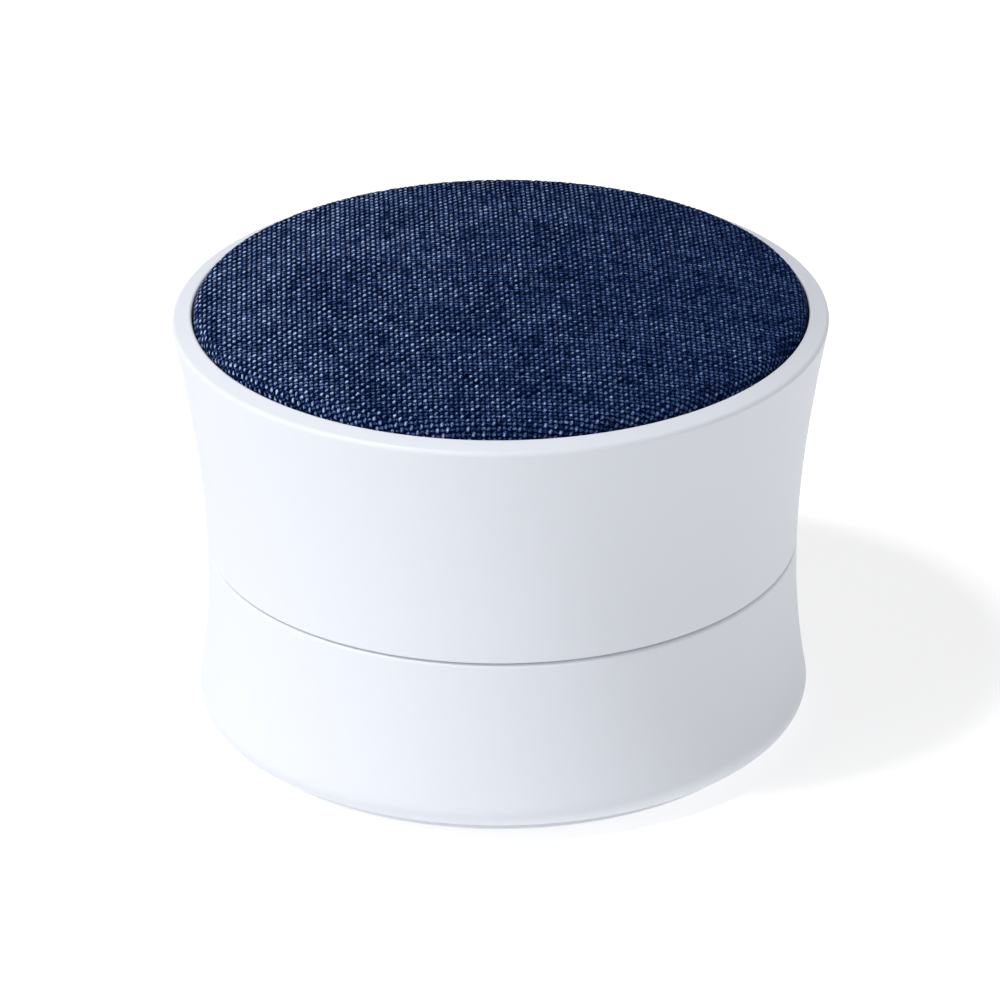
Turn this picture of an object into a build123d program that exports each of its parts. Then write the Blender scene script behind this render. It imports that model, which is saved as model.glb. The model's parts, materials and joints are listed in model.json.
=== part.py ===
from build123d import *

import math
import os

# A small round Bluetooth loudspeaker. A waisted plastic body in two shells stands on a base cover
# with a soft foot ring. A cloth-covered domed grille fills the rim at the top. Under it a small
# full-range driver faces upwards. The board, the battery and the keys are in the lower shell.
#
# Frame: millimetres, +Z up, origin on the supporting surface under the middle of the body.
# The front is -Y. The keys, the charging socket, the lamp and the microphone are at the back, +Y.

# ---------------------------------------------------------------- body form
RIM_RADIUS = 37.5  # outside of the rim
RIM_HEIGHT = 50.6  # inner, higher edge of the rim above the supporting surface
RIM_FALL = 0.8  # how far the rim slopes down to its outer edge
RIM_LIP = 2.3  # width of the rim round the grille
RIM_OUTER_ROUND = 0.5
RIM_INNER_ROUND = 0.25
WAIST_RADIUS = 34.0  # narrowest radius of the body
WAIST_HEIGHT = 19.5
HIP_RADIUS = 35.0  # radius of the body low down, above its rounded foot
HIP_HEIGHT = 6.0
SEAM_HEIGHT = 22.2  # where the two shells meet
SEAM_GAP = 0.2
SEAM_EDGE_LOWER = 0.45  # rounding of the lower shell's top edge
SEAM_EDGE_UPPER = 0.12
SHELL_WALL = 2.2
SHELL_BOTTOM = 1.5  # lowest edge of the lower shell
SHELL_FOOT_ROUND = 2.6
FLOOR_UNDERSIDE = 2.5
FLOOR_THICKNESS = 1.7
LIP_HEIGHT = 2.8  # the lower shell's inner lip, which centres the upper shell
LIP_WALL = 1.4
FIT_GAP = 0.1  # between pieces that slot together
LOOSE_GAP = 0.2  # round pieces that drop in

# ---------------------------------------------------------------- base
BASE_RADIUS = 32.5
BASE_UNDERSIDE = 0.5  # how far the foot ring lifts the base
BASE_GAP = 0.1  # between the base cover's edge and the shell
BASE_PLUG_RADIUS = 31.3  # raised middle of the base cover, inside the shell's recess
FOOT_INNER_RADIUS = 27.0
FOOT_OUTER_RADIUS = 31.0
FOOT_GROOVE_DEPTH = 0.8
FOOT_EDGE = 0.25

# ---------------------------------------------------------------- grille and baffle
GRILLE_POCKET_DEPTH = 6.6  # from the rim down to the ledge
LEDGE_THICKNESS = 2.0
LEDGE_WIDTH = 3.7
BAFFLE_THICKNESS = 2.0
CLOTH_THICKNESS = 0.5
CLOTH_GAP = 0.12  # between the cloth and the rim
CLOTH_EDGE_RISE = 1.15  # height of the crown's edge above the rim, before its rounding
CLOTH_EDGE_ROUND = 1.7
DOME_RISE = 3.5  # of the crown above its edge
CLOTH_HEM_WIDTH = 2.4  # turned in under the grille
GRILLE_WALL = 1.4
GRILLE_RINGS = 7
GRILLE_RIBS = 8
GRILLE_RIB_WIDTH = 1.6
GRILLE_SLOT_WIDTH = 2.0
GRILLE_SLOT_PITCH = 3.6
GRILLE_HUB_RADIUS = 3.0
CLIP_RADIUS = 29.4  # middle of a clip's leg, from the axis
CLIP_THICKNESS = 1.2
CLIP_WIDTH = 5.0
CLIP_BARB = 0.9
CLIP_BARB_HEIGHT = 1.0
CLIPS = 4

# ---------------------------------------------------------------- driver
DRIVER_FLANGE_RADIUS = 26.5
DRIVER_BASKET_RADIUS = 21.5  # outside of the basket where it passes the baffle
BASKET_SHEET = 0.7
FLANGE_THICKNESS = 0.8
BASKET_DEPTH = 9.8
SPIDER_LEDGE_DEPTH = 6.8
SPIDER_LEDGE_RADIUS = 15.5
BASKET_CUP_RADIUS = 13.2  # inside of the basket's cup
TOP_PLATE_RADIUS = 14.5
TOP_PLATE_THICKNESS = 2.0
MAGNET_RADIUS = 16.0
MAGNET_BORE_RADIUS = 8.0
MAGNET_THICKNESS = 6.0
YOKE_THICKNESS = 2.5
POLE_RADIUS = 6.0
GAP_RADIUS = 7.0  # outside of the magnetic gap
FORMER_RADIUS = 6.35  # inside of the coil former
FORMER_WALL = 0.15
FORMER_LENGTH = 8.5
WINDING_WALL = 0.25
WINDING_LENGTH = 3.2
CONE_RADIUS = 17.4
CONE_LIP = 1.2
CONE_DEPTH = 6.0
CONE_WALL = 0.4
DUST_CAP_RADIUS = 8.2
DUST_CAP_RISE = 2.4
DUST_CAP_WALL = 0.3
SURROUND_WALL = 0.3
SURROUND_OUTER_RADIUS = 22.0
SURROUND_FLANGE = 1.3
SPIDER_WALL = 0.3
SPIDER_WAVES = 3
SPIDER_WAVE_HEIGHT = 0.45
DRIVER_GASKET_HEIGHT = 0.9
BASKET_WINDOW_WIDTH = 13.0
DRIVER_SCREW_CIRCLE = 24.2
DRIVER_SCREWS = 4

# ---------------------------------------------------------------- screws
SCREW_FIT = 0.02  # between a screw and the hole that it bites
SHELL_SCREW_RADIUS = 1.25
SHELL_SCREW_HEAD = (2.3, 1.8)  # radius, height
SMALL_SCREW_RADIUS = 0.95
SMALL_SCREW_HEAD = (1.7, 0.9)
BOARD_SCREW_HEAD = (1.7, 1.1)
DRIVER_SCREW_HEAD = (1.9, 1.3)
RECESS_DEPTH = 0.6  # of the cross in a screw head
COLUMN_CIRCLE = 26.8
COLUMN_RADIUS = 3.3
UPPER_BOSS_RADIUS = 3.0
UPPER_BOSS_LENGTH = 14.0
SHELL_SCREW_SEAT = 6.0  # height of the face that the long screws' heads bear on
SHELL_SCREW_LENGTH = 25.0
RIB_THICKNESS = 1.4
SHELL_SCREWS = 4
BASE_SCREW_CIRCLE = 24.0
BASE_SCREW_LENGTH = 4.0
BASE_SCREWS = 4
BAFFLE_SCREWS = 4
BAFFLE_SCREW_INSET = 2.0  # from the edge of the baffle
BAFFLE_SCREW_LENGTH = 5.0
SMALL_BOSS_RADIUS = 2.0

# ---------------------------------------------------------------- board
BOARD_RADIUS = 23.0
BOARD_THICKNESS = 1.2
BOARD_CLEARANCE = 2.0  # between the floor and the board
BOARD_TONGUE_HALF = 12.2  # half width of the board's tongue, which reaches the back wall
BOARD_SCREW_PLACES = ((19.2, 1.0), (-19.2, 1.0), (0.0, -20.6))
USB_WIDTH = 7.5
USB_HEIGHT = 2.5
USB_DEPTH = 5.0
USB_WALL = 0.3
USB_TO_WALL = 0.4  # from the socket's mouth to the inside of the wall
PORT_MARGIN = 0.55  # round the socket in the shell
PORT_DISH = 0.7  # depth of the dish round the socket's opening
PORT_DISH_MARGIN = 1.1
LAMP_X = 9.0
LIGHT_PIPE_RADIUS = 0.9
MICROPHONE_X = -9.0
MICROPHONE_RADIUS = 2.0
MICROPHONE_DEPTH = 1.5
MICROPHONE_HOLE_RADIUS = 0.6
BATTERY_SIZE = (26.0, 20.0, 6.0)
BATTERY_BACK = 1.5  # y of the battery's back face
PAD_THICKNESS = 1.0
CONNECTOR_PLACE = (17.2, 6.5)
CONNECTOR_SIZE = (4.5, 6.0, 5.0)
WIRE_RADIUS = 0.5
WIRE_SPACING = 2.0

# ---------------------------------------------------------------- keys
KEY_RADIUS = 2.7
KEY_SPACING = 8.6
KEY_HEIGHT = 15.2
KEY_PROUD = 0.35
KEY_HOLE_GAP = 0.15
KEY_FLANGE = 0.8  # wider than the key, all round
KEY_FLANGE_THICKNESS = 0.9
KEY_MARK_DEPTH = 0.2
KEY_MARK_SIZE = 2.2
KEY_MARK_STROKE = 0.5
KEY_TRAVEL = 0.3
KEY_EDGE = 0.3
KEY_BOARD_Y = 24.5  # inner face of the key board
KEY_BOARD_THICKNESS = 1.0
KEY_BOARD_HALF = 13.5
KEY_BOARD_BOTTOM = 11.0
KEY_BOARD_TOP = 20.0
SWITCH_SIDE = 4.5
SWITCH_DEPTH = 1.8
PLUNGER_RADIUS = 1.0
PLUNGER_PROUD = 0.6
POST_RADIUS = 1.1
GUIDE_POST = 2.6  # side of the square posts that hold the key board

# ---------------------------------------------------------------- power switch
POWER_Y = -9.0
POWER_TRAVEL = 2.0
POWER_BODY = (7.0, 3.4, 2.6)
POWER_LEVER = (1.3, 1.2)
POWER_PAD = (3.4, 2.4)
POWER_PAD_RECESS = 1.0
POWER_PAD_RIBS = 3
POWER_FLOOR_GAP = 0.3
POWER_DISH_MARGIN = 0.35

# ---------------------------------------------------------------- places worked out from the sizes
FLOOR_TOP = FLOOR_UNDERSIDE + FLOOR_THICKNESS
BOARD_BOTTOM = FLOOR_TOP + BOARD_CLEARANCE
BOARD_TOP = BOARD_BOTTOM + BOARD_THICKNESS
PORT_HEIGHT = BOARD_TOP + USB_HEIGHT / 2
OPENING_RADIUS = RIM_RADIUS - RIM_LIP
LEDGE_TOP = RIM_HEIGHT - GRILLE_POCKET_DEPTH
LEDGE_BOTTOM = LEDGE_TOP - LEDGE_THICKNESS
LEDGE_RADIUS = OPENING_RADIUS - LEDGE_WIDTH
BAFFLE_TOP = LEDGE_TOP + BAFFLE_THICKNESS
BAFFLE_RADIUS = OPENING_RADIUS - LOOSE_GAP
CLOTH_RADIUS = OPENING_RADIUS - CLOTH_GAP
GRILLE_RADIUS = CLOTH_RADIUS - CLOTH_THICKNESS
CLOTH_BOTTOM = BAFFLE_TOP + FIT_GAP / 2
GRILLE_BOTTOM = CLOTH_BOTTOM + CLOTH_THICKNESS
SPIN_SLACK = 1.0  # cutting solids run this far past what they cut


# ---------------------------------------------------------------- helpers
def disc(radius, bottom, top):
    """An upright cylinder on the body's axis between two heights."""
    return Pos(0, 0, bottom) * Cylinder(radius, top - bottom, align=(Align.CENTER, Align.CENTER, Align.MIN))


def ring(outer, inner, bottom, top):
    """An upright tube on the body's axis."""
    return disc(outer, bottom, top) - disc(inner, bottom - SPIN_SLACK, top + SPIN_SLACK)


def peg(radius, x, y, bottom, top):
    """An upright cylinder at a place."""
    return Pos(x, y, 0) * disc(radius, bottom, top)


def block(x_size, y_size, x, y, bottom, top):
    """An upright block about a place."""
    return Pos(x, y, bottom) * Box(x_size, y_size, top - bottom, align=(Align.CENTER, Align.CENTER, Align.MIN))


def rod_y(radius, x, z, y_low, y_high):
    """A cylinder along Y."""
    return Pos(x, y_low, z) * Rot(-90, 0, 0) * Cylinder(
        radius, y_high - y_low, align=(Align.CENTER, Align.CENTER, Align.MIN)
    )


def slab_y(x_size, z_size, x, z, y_low, y_high, corner):
    """A block along Y whose four long edges are rounded."""
    outline = Plane((x, y_low, z), x_dir=(1, 0, 0), z_dir=(0, 1, 0)) * RectangleRounded(x_size, z_size, corner)
    return extrude(outline, y_high - y_low)


def turned(points):
    """A solid of revolution from an outline of (radius, height) points."""
    return revolve(Plane.XZ * make_face(Polyline(*points, close=True)), Axis.Z)


def at_angles(count, first=0.0):
    """Evenly spaced angles in degrees."""
    return [first + k * 360.0 / count for k in range(count)]


def polar(radius, angle):
    """The (x, y) of a place on a circle."""
    return radius * math.cos(math.radians(angle)), radius * math.sin(math.radians(angle))


def circles(shape, level):
    """The circular edges at one level, 0 for the lowest and -1 for the highest, from small to large."""
    return shape.edges().filter_by(GeomType.CIRCLE).group_by(Axis.Z)[level].sort_by(SortBy.RADIUS)


def gather(solids):
    """Separate solids as one shape."""
    return Compound(children=[s for piece in solids for s in piece.solids()])


def screw(radius, length, head, seat, place, up=True):
    """A pan-head screw. Its shank runs from seat, upwards or downwards, and its head is on the other side."""
    head_radius, head_height = head
    way = 1 if up else -1
    shank = Cylinder(radius, length + head_height, align=(Align.CENTER, Align.CENTER, Align.MIN))
    top = Cylinder(head_radius, head_height, align=(Align.CENTER, Align.CENTER, Align.MIN))
    top = fillet(circles(top, 0), head_height * 0.35)
    bar = Box(head_radius * 1.1, radius * 0.45, RECESS_DEPTH, align=(Align.CENTER, Align.CENTER, Align.MIN))
    made = top + shank - bar - Rot(0, 0, 90) * bar
    turn = Rot(0, 0, 0) if up else Rot(180, 0, 0)
    return Pos(place[0], place[1], seat - way * head_height) * turn * made


def body_radius(z):
    """The body's outside radius at a height: a cubic through the rim, the waist and the hip, level at the waist."""
    up, down = RIM_HEIGHT - RIM_FALL - WAIST_HEIGHT, HIP_HEIGHT - WAIST_HEIGHT
    flare, swell = RIM_RADIUS - WAIST_RADIUS, HIP_RADIUS - WAIST_RADIUS
    cube = (flare / up**2 - swell / down**2) / (up - down)
    square = flare / up**2 - cube * up
    t = z - WAIST_HEIGHT
    return WAIST_RADIUS + square * t**2 + cube * t**3


def body_form(inset, bottom, top):
    """The body's outside, taken in all round by inset, as a filled solid between two heights."""
    steps = 6
    heights = [bottom + (top - bottom) * k / steps for k in range(steps + 1)]
    side = Spline(*[(body_radius(z) - inset, z) for z in heights])
    rest = Polyline((side @ 1), (0, top), (0, bottom), (side @ 0))
    return revolve(Plane.XZ * make_face([side, rest]), Axis.Z)


# ---------------------------------------------------------------- shells
COLUMN_ANGLES = at_angles(SHELL_SCREWS, 45.0)


def wall_ribs(bottom, top, inset):
    """Upright ribs from the screw columns out to the body's wall."""
    length = body_radius(top) - COLUMN_CIRCLE
    ribs = []
    for angle in COLUMN_ANGLES:
        rib = Pos(COLUMN_CIRCLE, 0, bottom) * Box(
            length, RIB_THICKNESS, top - bottom, align=(Align.MIN, Align.CENTER, Align.MIN)
        )
        ribs.append(Rot(0, 0, angle) * rib & body_form(inset, bottom, top))
    return ribs


def upper_shell():
    """The tall flared shell with its rim, the ledge under the grille and four screw bosses."""
    bottom = SEAM_HEIGHT + SEAM_GAP / 2
    shell = body_form(0, bottom, RIM_HEIGHT)
    shell -= disc(OPENING_RADIUS, LEDGE_TOP, RIM_HEIGHT + SPIN_SLACK)
    shell -= disc(LEDGE_RADIUS, LEDGE_BOTTOM - SPIN_SLACK, LEDGE_TOP + SPIN_SLACK)
    far = RIM_LIP + SPIN_SLACK
    above = RIM_HEIGHT + SPIN_SLACK
    shell -= turned(
        [
            (OPENING_RADIUS, RIM_HEIGHT),
            (OPENING_RADIUS + far, RIM_HEIGHT - RIM_FALL * far / RIM_LIP),
            (OPENING_RADIUS + far, above),
            (OPENING_RADIUS, above),
        ]
    )
    shell = fillet(circles(shell, -1)[0], RIM_INNER_ROUND)
    shell = fillet(shell.edges().sort_by(SortBy.LENGTH)[-1], RIM_OUTER_ROUND)
    shell -= body_form(SHELL_WALL, bottom - SPIN_SLACK, LEDGE_BOTTOM)
    shell = fillet(circles(shell, 0)[-1], SEAM_EDGE_UPPER)
    boss_top = bottom + UPPER_BOSS_LENGTH
    rib_bottom = SEAM_HEIGHT + LIP_HEIGHT + 2 * LOOSE_GAP
    for angle in COLUMN_ANGLES:
        shell += peg(UPPER_BOSS_RADIUS, *polar(COLUMN_CIRCLE, angle), bottom, boss_top)
    for rib in wall_ribs(rib_bottom, boss_top, SHELL_WALL / 2):
        shell += rib
    pilot_top = SHELL_SCREW_SEAT + SHELL_SCREW_LENGTH + 2 * LOOSE_GAP
    for angle in COLUMN_ANGLES:
        shell -= peg(SHELL_SCREW_RADIUS + SCREW_FIT, *polar(COLUMN_CIRCLE, angle), bottom - SPIN_SLACK, pilot_top)
    for angle in at_angles(BAFFLE_SCREWS):
        place = polar(BAFFLE_RADIUS - BAFFLE_SCREW_INSET, angle)
        boss_bottom = LEDGE_BOTTOM - BAFFLE_SCREW_LENGTH + LEDGE_THICKNESS
        boss = peg(SMALL_BOSS_RADIUS, *place, boss_bottom, LEDGE_BOTTOM)
        shell += boss & body_form(SHELL_WALL / 2, boss_bottom, LEDGE_BOTTOM)
        shell -= peg(SMALL_SCREW_RADIUS + SCREW_FIT, *place, boss_bottom + LOOSE_GAP, LEDGE_TOP + SPIN_SLACK)
    return shell


def key_places():
    """The x of each key, from the left as seen from the front."""
    return [(k - 1) * KEY_SPACING for k in range(3)]


def guide_posts():
    """Two upright posts with a groove each, which hold the ends of the key board."""
    middle_y = KEY_BOARD_Y + KEY_BOARD_THICKNESS / 2
    posts = None
    for side in (-1, 1):
        x = side * (KEY_BOARD_HALF + GUIDE_POST / 2 - 0.7)
        post = block(GUIDE_POST, GUIDE_POST + KEY_BOARD_THICKNESS, x, middle_y, FLOOR_TOP, KEY_BOARD_TOP - 1)
        posts = post if posts is None else posts + post
    slot = block(
        2 * (KEY_BOARD_HALF + FIT_GAP),
        KEY_BOARD_THICKNESS + FIT_GAP,
        0,
        middle_y,
        KEY_BOARD_BOTTOM - FIT_GAP / 2,
        KEY_BOARD_TOP + SPIN_SLACK,
    )
    return posts - slot


def lower_shell():
    """The cup-shaped lower shell with its floor, columns, bosses and the openings at the back."""
    top = SEAM_HEIGHT - SEAM_GAP / 2
    shell = body_form(0, SHELL_BOTTOM, top)
    shell = fillet(circles(shell, 0)[-1], SHELL_FOOT_ROUND)
    shell = fillet(circles(shell, -1)[-1], SEAM_EDGE_LOWER)
    shell -= body_form(SHELL_WALL, FLOOR_TOP, top + SPIN_SLACK)
    shell -= disc(BASE_PLUG_RADIUS + FIT_GAP, SHELL_BOTTOM - SPIN_SLACK, FLOOR_UNDERSIDE)
    lip_radius = body_radius(SEAM_HEIGHT) - SHELL_WALL - FIT_GAP
    lip_root = top - LIP_HEIGHT
    shell += ring(lip_radius, lip_radius - LIP_WALL, lip_root, SEAM_HEIGHT + LIP_HEIGHT)
    shell += ring(lip_radius + SHELL_WALL / 2, lip_radius - LIP_WALL, lip_root, top - SEAM_EDGE_LOWER)
    for angle in COLUMN_ANGLES:
        shell += peg(COLUMN_RADIUS, *polar(COLUMN_CIRCLE, angle), FLOOR_UNDERSIDE, top)
    for rib in wall_ribs(FLOOR_TOP, top - LIP_HEIGHT, SHELL_WALL / 2):
        shell += rib
    for place in BOARD_SCREW_PLACES:
        shell += peg(SMALL_BOSS_RADIUS, *place, FLOOR_TOP, BOARD_BOTTOM)
    base_boss_top = BOARD_BOTTOM - 2 * LOOSE_GAP
    for angle in at_angles(BASE_SCREWS):
        shell += peg(SMALL_BOSS_RADIUS, *polar(BASE_SCREW_CIRCLE, angle), FLOOR_TOP, base_boss_top)
    shell += guide_posts()

    for angle in COLUMN_ANGLES:
        place = polar(COLUMN_CIRCLE, angle)
        shell -= peg(SHELL_SCREW_RADIUS + FIT_GAP, *place, SHELL_BOTTOM, top + LIP_HEIGHT)
        shell -= peg(SHELL_SCREW_HEAD[0] + LOOSE_GAP, *place, SHELL_BOTTOM, SHELL_SCREW_SEAT)
    for place in BOARD_SCREW_PLACES:
        shell -= peg(SMALL_SCREW_RADIUS + SCREW_FIT, *place, FLOOR_TOP - FLOOR_THICKNESS / 2, BOARD_TOP)
    for angle in at_angles(BASE_SCREWS):
        place = polar(BASE_SCREW_CIRCLE, angle)
        shell -= peg(SMALL_SCREW_RADIUS + SCREW_FIT, *place, SHELL_BOTTOM, base_boss_top - LOOSE_GAP)

    inside = body_radius(PORT_HEIGHT) - 2 * SHELL_WALL
    outside = RIM_RADIUS + SPIN_SLACK
    port_wide, port_high = USB_WIDTH + 2 * PORT_MARGIN, USB_HEIGHT + 2 * PORT_MARGIN
    shell -= slab_y(port_wide, port_high, 0, PORT_HEIGHT, inside, outside, port_high * 0.3)
    dish = slab_y(
        port_wide + 2 * PORT_DISH_MARGIN,
        port_high + 2 * PORT_DISH_MARGIN,
        0,
        PORT_HEIGHT,
        body_radius(PORT_HEIGHT) - PORT_DISH,
        outside,
        port_high * 0.45,
    )
    shell -= dish
    shell -= rod_y(LIGHT_PIPE_RADIUS + FIT_GAP / 2, LAMP_X, PORT_HEIGHT, inside, outside)
    shell -= rod_y(MICROPHONE_HOLE_RADIUS, MICROPHONE_X, PORT_HEIGHT, inside, outside)
    for x in key_places():
        shell -= rod_y(KEY_RADIUS + KEY_HOLE_GAP, x, KEY_HEIGHT, inside - SHELL_WALL, outside)
    shell -= block(
        POWER_BODY[0] + 2 * POWER_FLOOR_GAP,
        POWER_BODY[1] + 2 * POWER_FLOOR_GAP,
        0,
        POWER_Y,
        SHELL_BOTTOM,
        FLOOR_TOP + SPIN_SLACK,
    )
    return shell


def base_cover():
    """The white plate under the lower shell, with the foot ring's groove and the power switch's dish."""
    edge_top = SHELL_BOTTOM - BASE_GAP
    cover = disc(BASE_RADIUS, BASE_UNDERSIDE, edge_top) + disc(BASE_PLUG_RADIUS, BASE_UNDERSIDE, FLOOR_UNDERSIDE)
    cover = chamfer(circles(cover, 0)[-1], FOOT_EDGE)
    cover -= ring(
        FOOT_OUTER_RADIUS,
        FOOT_INNER_RADIUS,
        BASE_UNDERSIDE - SPIN_SLACK,
        BASE_UNDERSIDE + FOOT_GROOVE_DEPTH,
    )
    for angle in at_angles(BASE_SCREWS):
        place = polar(BASE_SCREW_CIRCLE, angle)
        head_radius, head_height = SMALL_SCREW_HEAD
        cover -= peg(SMALL_SCREW_RADIUS + FIT_GAP, *place, 0, FLOOR_TOP)
        cover -= peg(head_radius + LOOSE_GAP, *place, 0, BASE_UNDERSIDE + head_height + LOOSE_GAP)
    pad_x, pad_y = POWER_PAD
    dish = extrude(
        Pos(0, POWER_Y, 0)
        * RectangleRounded(
            pad_x + POWER_TRAVEL + 2 * POWER_DISH_MARGIN, pad_y + 2 * POWER_DISH_MARGIN, pad_y * 0.3
        ),
        BASE_UNDERSIDE + POWER_PAD_RECESS,
    )
    slot = block(
        POWER_LEVER[0] + POWER_TRAVEL + 2 * POWER_FLOOR_GAP,
        POWER_LEVER[1] + 2 * POWER_FLOOR_GAP,
        0,
        POWER_Y,
        0,
        FLOOR_TOP,
    )
    return cover - dish - slot


def foot_ring():
    """The soft ring that the loudspeaker stands on."""
    foot = ring(FOOT_OUTER_RADIUS, FOOT_INNER_RADIUS, 0, BASE_UNDERSIDE + FOOT_GROOVE_DEPTH)
    return chamfer(circles(foot, 0), FOOT_EDGE)


# ---------------------------------------------------------------- grille
def dome(inset, bottom):
    """The grille's domed form taken in by inset: an upright side, a rounded edge and a shallow crown."""
    radius, side_top = CLOTH_RADIUS - inset, RIM_HEIGHT + CLOTH_EDGE_RISE - inset
    crown_top = side_top + DOME_RISE
    ball = (radius**2 + DOME_RISE**2) / (2 * DOME_RISE)
    half_way = crown_top - ball + math.sqrt(ball**2 - radius**2 / 4)
    crown = ThreePointArc((radius, side_top), (radius / 2, half_way), (0, crown_top))
    sides = Polyline((0, crown_top), (0, bottom), (radius, bottom), (radius, side_top))
    face = make_face([crown, sides])
    corner = face.vertices().sort_by_distance((radius, side_top, 0))[0]
    face = fillet(corner, max(CLOTH_EDGE_ROUND - inset, FIT_GAP))
    return revolve(Plane.XZ * face, Axis.Z)


def grille_cloth():
    """The cloth: a thin skin over the grille, down its side and turned in under its edge."""
    skin = dome(0, CLOTH_BOTTOM) - dome(CLOTH_THICKNESS, GRILLE_BOTTOM)
    return skin - disc(CLOTH_RADIUS - CLOTH_HEM_WIDTH, 0, GRILLE_BOTTOM + SPIN_SLACK)


def grille_frame():
    """The slotted plastic dome under the cloth, with its skirt and four clips."""
    skirt = GRILLE_RADIUS - GRILLE_WALL
    outer = dome(CLOTH_THICKNESS, GRILLE_BOTTOM)
    frame = outer - dome(CLOTH_THICKNESS + GRILLE_WALL, GRILLE_BOTTOM - SPIN_SLACK)
    high = RIM_HEIGHT + 10 * DOME_RISE
    slots = None
    for k in range(GRILLE_RINGS):
        middle = GRILLE_HUB_RADIUS + GRILLE_SLOT_WIDTH / 2 + k * GRILLE_SLOT_PITCH
        cut = ring(middle + GRILLE_SLOT_WIDTH / 2, middle - GRILLE_SLOT_WIDTH / 2, BAFFLE_TOP, high)
        slots = cut if slots is None else slots + cut
    for angle in at_angles(GRILLE_RIBS // 2, 180 / GRILLE_RIBS):
        rib = Rot(0, 0, angle) * block(2 * skirt, GRILLE_RIB_WIDTH, 0, 0, BAFFLE_TOP - SPIN_SLACK, high + SPIN_SLACK)
        slots -= rib
    frame -= slots
    leg_bottom = LEDGE_TOP - CLIP_BARB_HEIGHT - LOOSE_GAP
    for angle in at_angles(CLIPS, 45.0):
        leg = block(CLIP_THICKNESS, CLIP_WIDTH, CLIP_RADIUS, 0, leg_bottom, RIM_HEIGHT + DOME_RISE)
        out = CLIP_RADIUS + CLIP_THICKNESS / 2
        barb = extrude(
            Plane((0, CLIP_WIDTH / 2, 0), x_dir=(1, 0, 0), z_dir=(0, -1, 0))
            * make_face(
                Polyline(
                    (out - CLIP_THICKNESS / 2, leg_bottom),
                    (out, leg_bottom),
                    (out + CLIP_BARB, leg_bottom + CLIP_BARB_HEIGHT),
                    (out - CLIP_THICKNESS / 2, leg_bottom + CLIP_BARB_HEIGHT),
                    close=True,
                )
            ),
            CLIP_WIDTH,
        )
        frame += Rot(0, 0, angle) * (leg & dome(CLOTH_THICKNESS + GRILLE_WALL / 2, leg_bottom))
        frame += Rot(0, 0, angle) * barb
    return frame


def driver_baffle():
    """The plate on the ledge that carries the driver and catches the grille's clips."""
    plate = disc(BAFFLE_RADIUS, LEDGE_TOP, BAFFLE_TOP)
    boss_bottom = BAFFLE_TOP - BAFFLE_SCREW_LENGTH - 1.5
    for angle in at_angles(DRIVER_SCREWS):
        plate += peg(SMALL_BOSS_RADIUS, *polar(DRIVER_SCREW_CIRCLE, angle), boss_bottom, LEDGE_TOP)
    plate -= disc(DRIVER_BASKET_RADIUS + LOOSE_GAP + FIT_GAP, boss_bottom, BAFFLE_TOP + SPIN_SLACK)
    for angle in at_angles(DRIVER_SCREWS):
        place = polar(DRIVER_SCREW_CIRCLE, angle)
        plate -= peg(SMALL_SCREW_RADIUS + SCREW_FIT, *place, boss_bottom + LOOSE_GAP, BAFFLE_TOP + SPIN_SLACK)
    for angle in at_angles(BAFFLE_SCREWS):
        place = polar(BAFFLE_RADIUS - BAFFLE_SCREW_INSET, angle)
        head_radius, head_height = SMALL_SCREW_HEAD
        plate -= peg(SMALL_SCREW_RADIUS + FIT_GAP, *place, LEDGE_TOP - SPIN_SLACK, BAFFLE_TOP)
        plate -= peg(head_radius + FIT_GAP, *place, BAFFLE_TOP - head_height - FIT_GAP, BAFFLE_TOP + SPIN_SLACK)
    for angle in at_angles(CLIPS, 45.0):
        slot = block(
            CLIP_THICKNESS + CLIP_BARB + 2 * LOOSE_GAP,
            CLIP_WIDTH + 2 * LOOSE_GAP,
            CLIP_RADIUS + CLIP_BARB / 2,
            0,
            LEDGE_TOP - SPIN_SLACK,
            BAFFLE_TOP + SPIN_SLACK,
        )
        plate -= Rot(0, 0, angle) * slot
    return plate


# ---------------------------------------------------------------- driver, heights from the baffle's top
CONE_TOP = 0.4  # underside of the cone's lip above the baffle
COIL_SLOPE_START = FORMER_RADIUS + FORMER_WALL + SCREW_FIT
PLATE_TOP = -BASKET_DEPTH
MAGNET_TOP = PLATE_TOP - TOP_PLATE_THICKNESS
YOKE_TOP = MAGNET_TOP - MAGNET_THICKNESS


def on_baffle(shape):
    """Lifts a shape modelled from the baffle's top to its place."""
    return Pos(0, 0, BAFFLE_TOP) * shape


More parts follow.
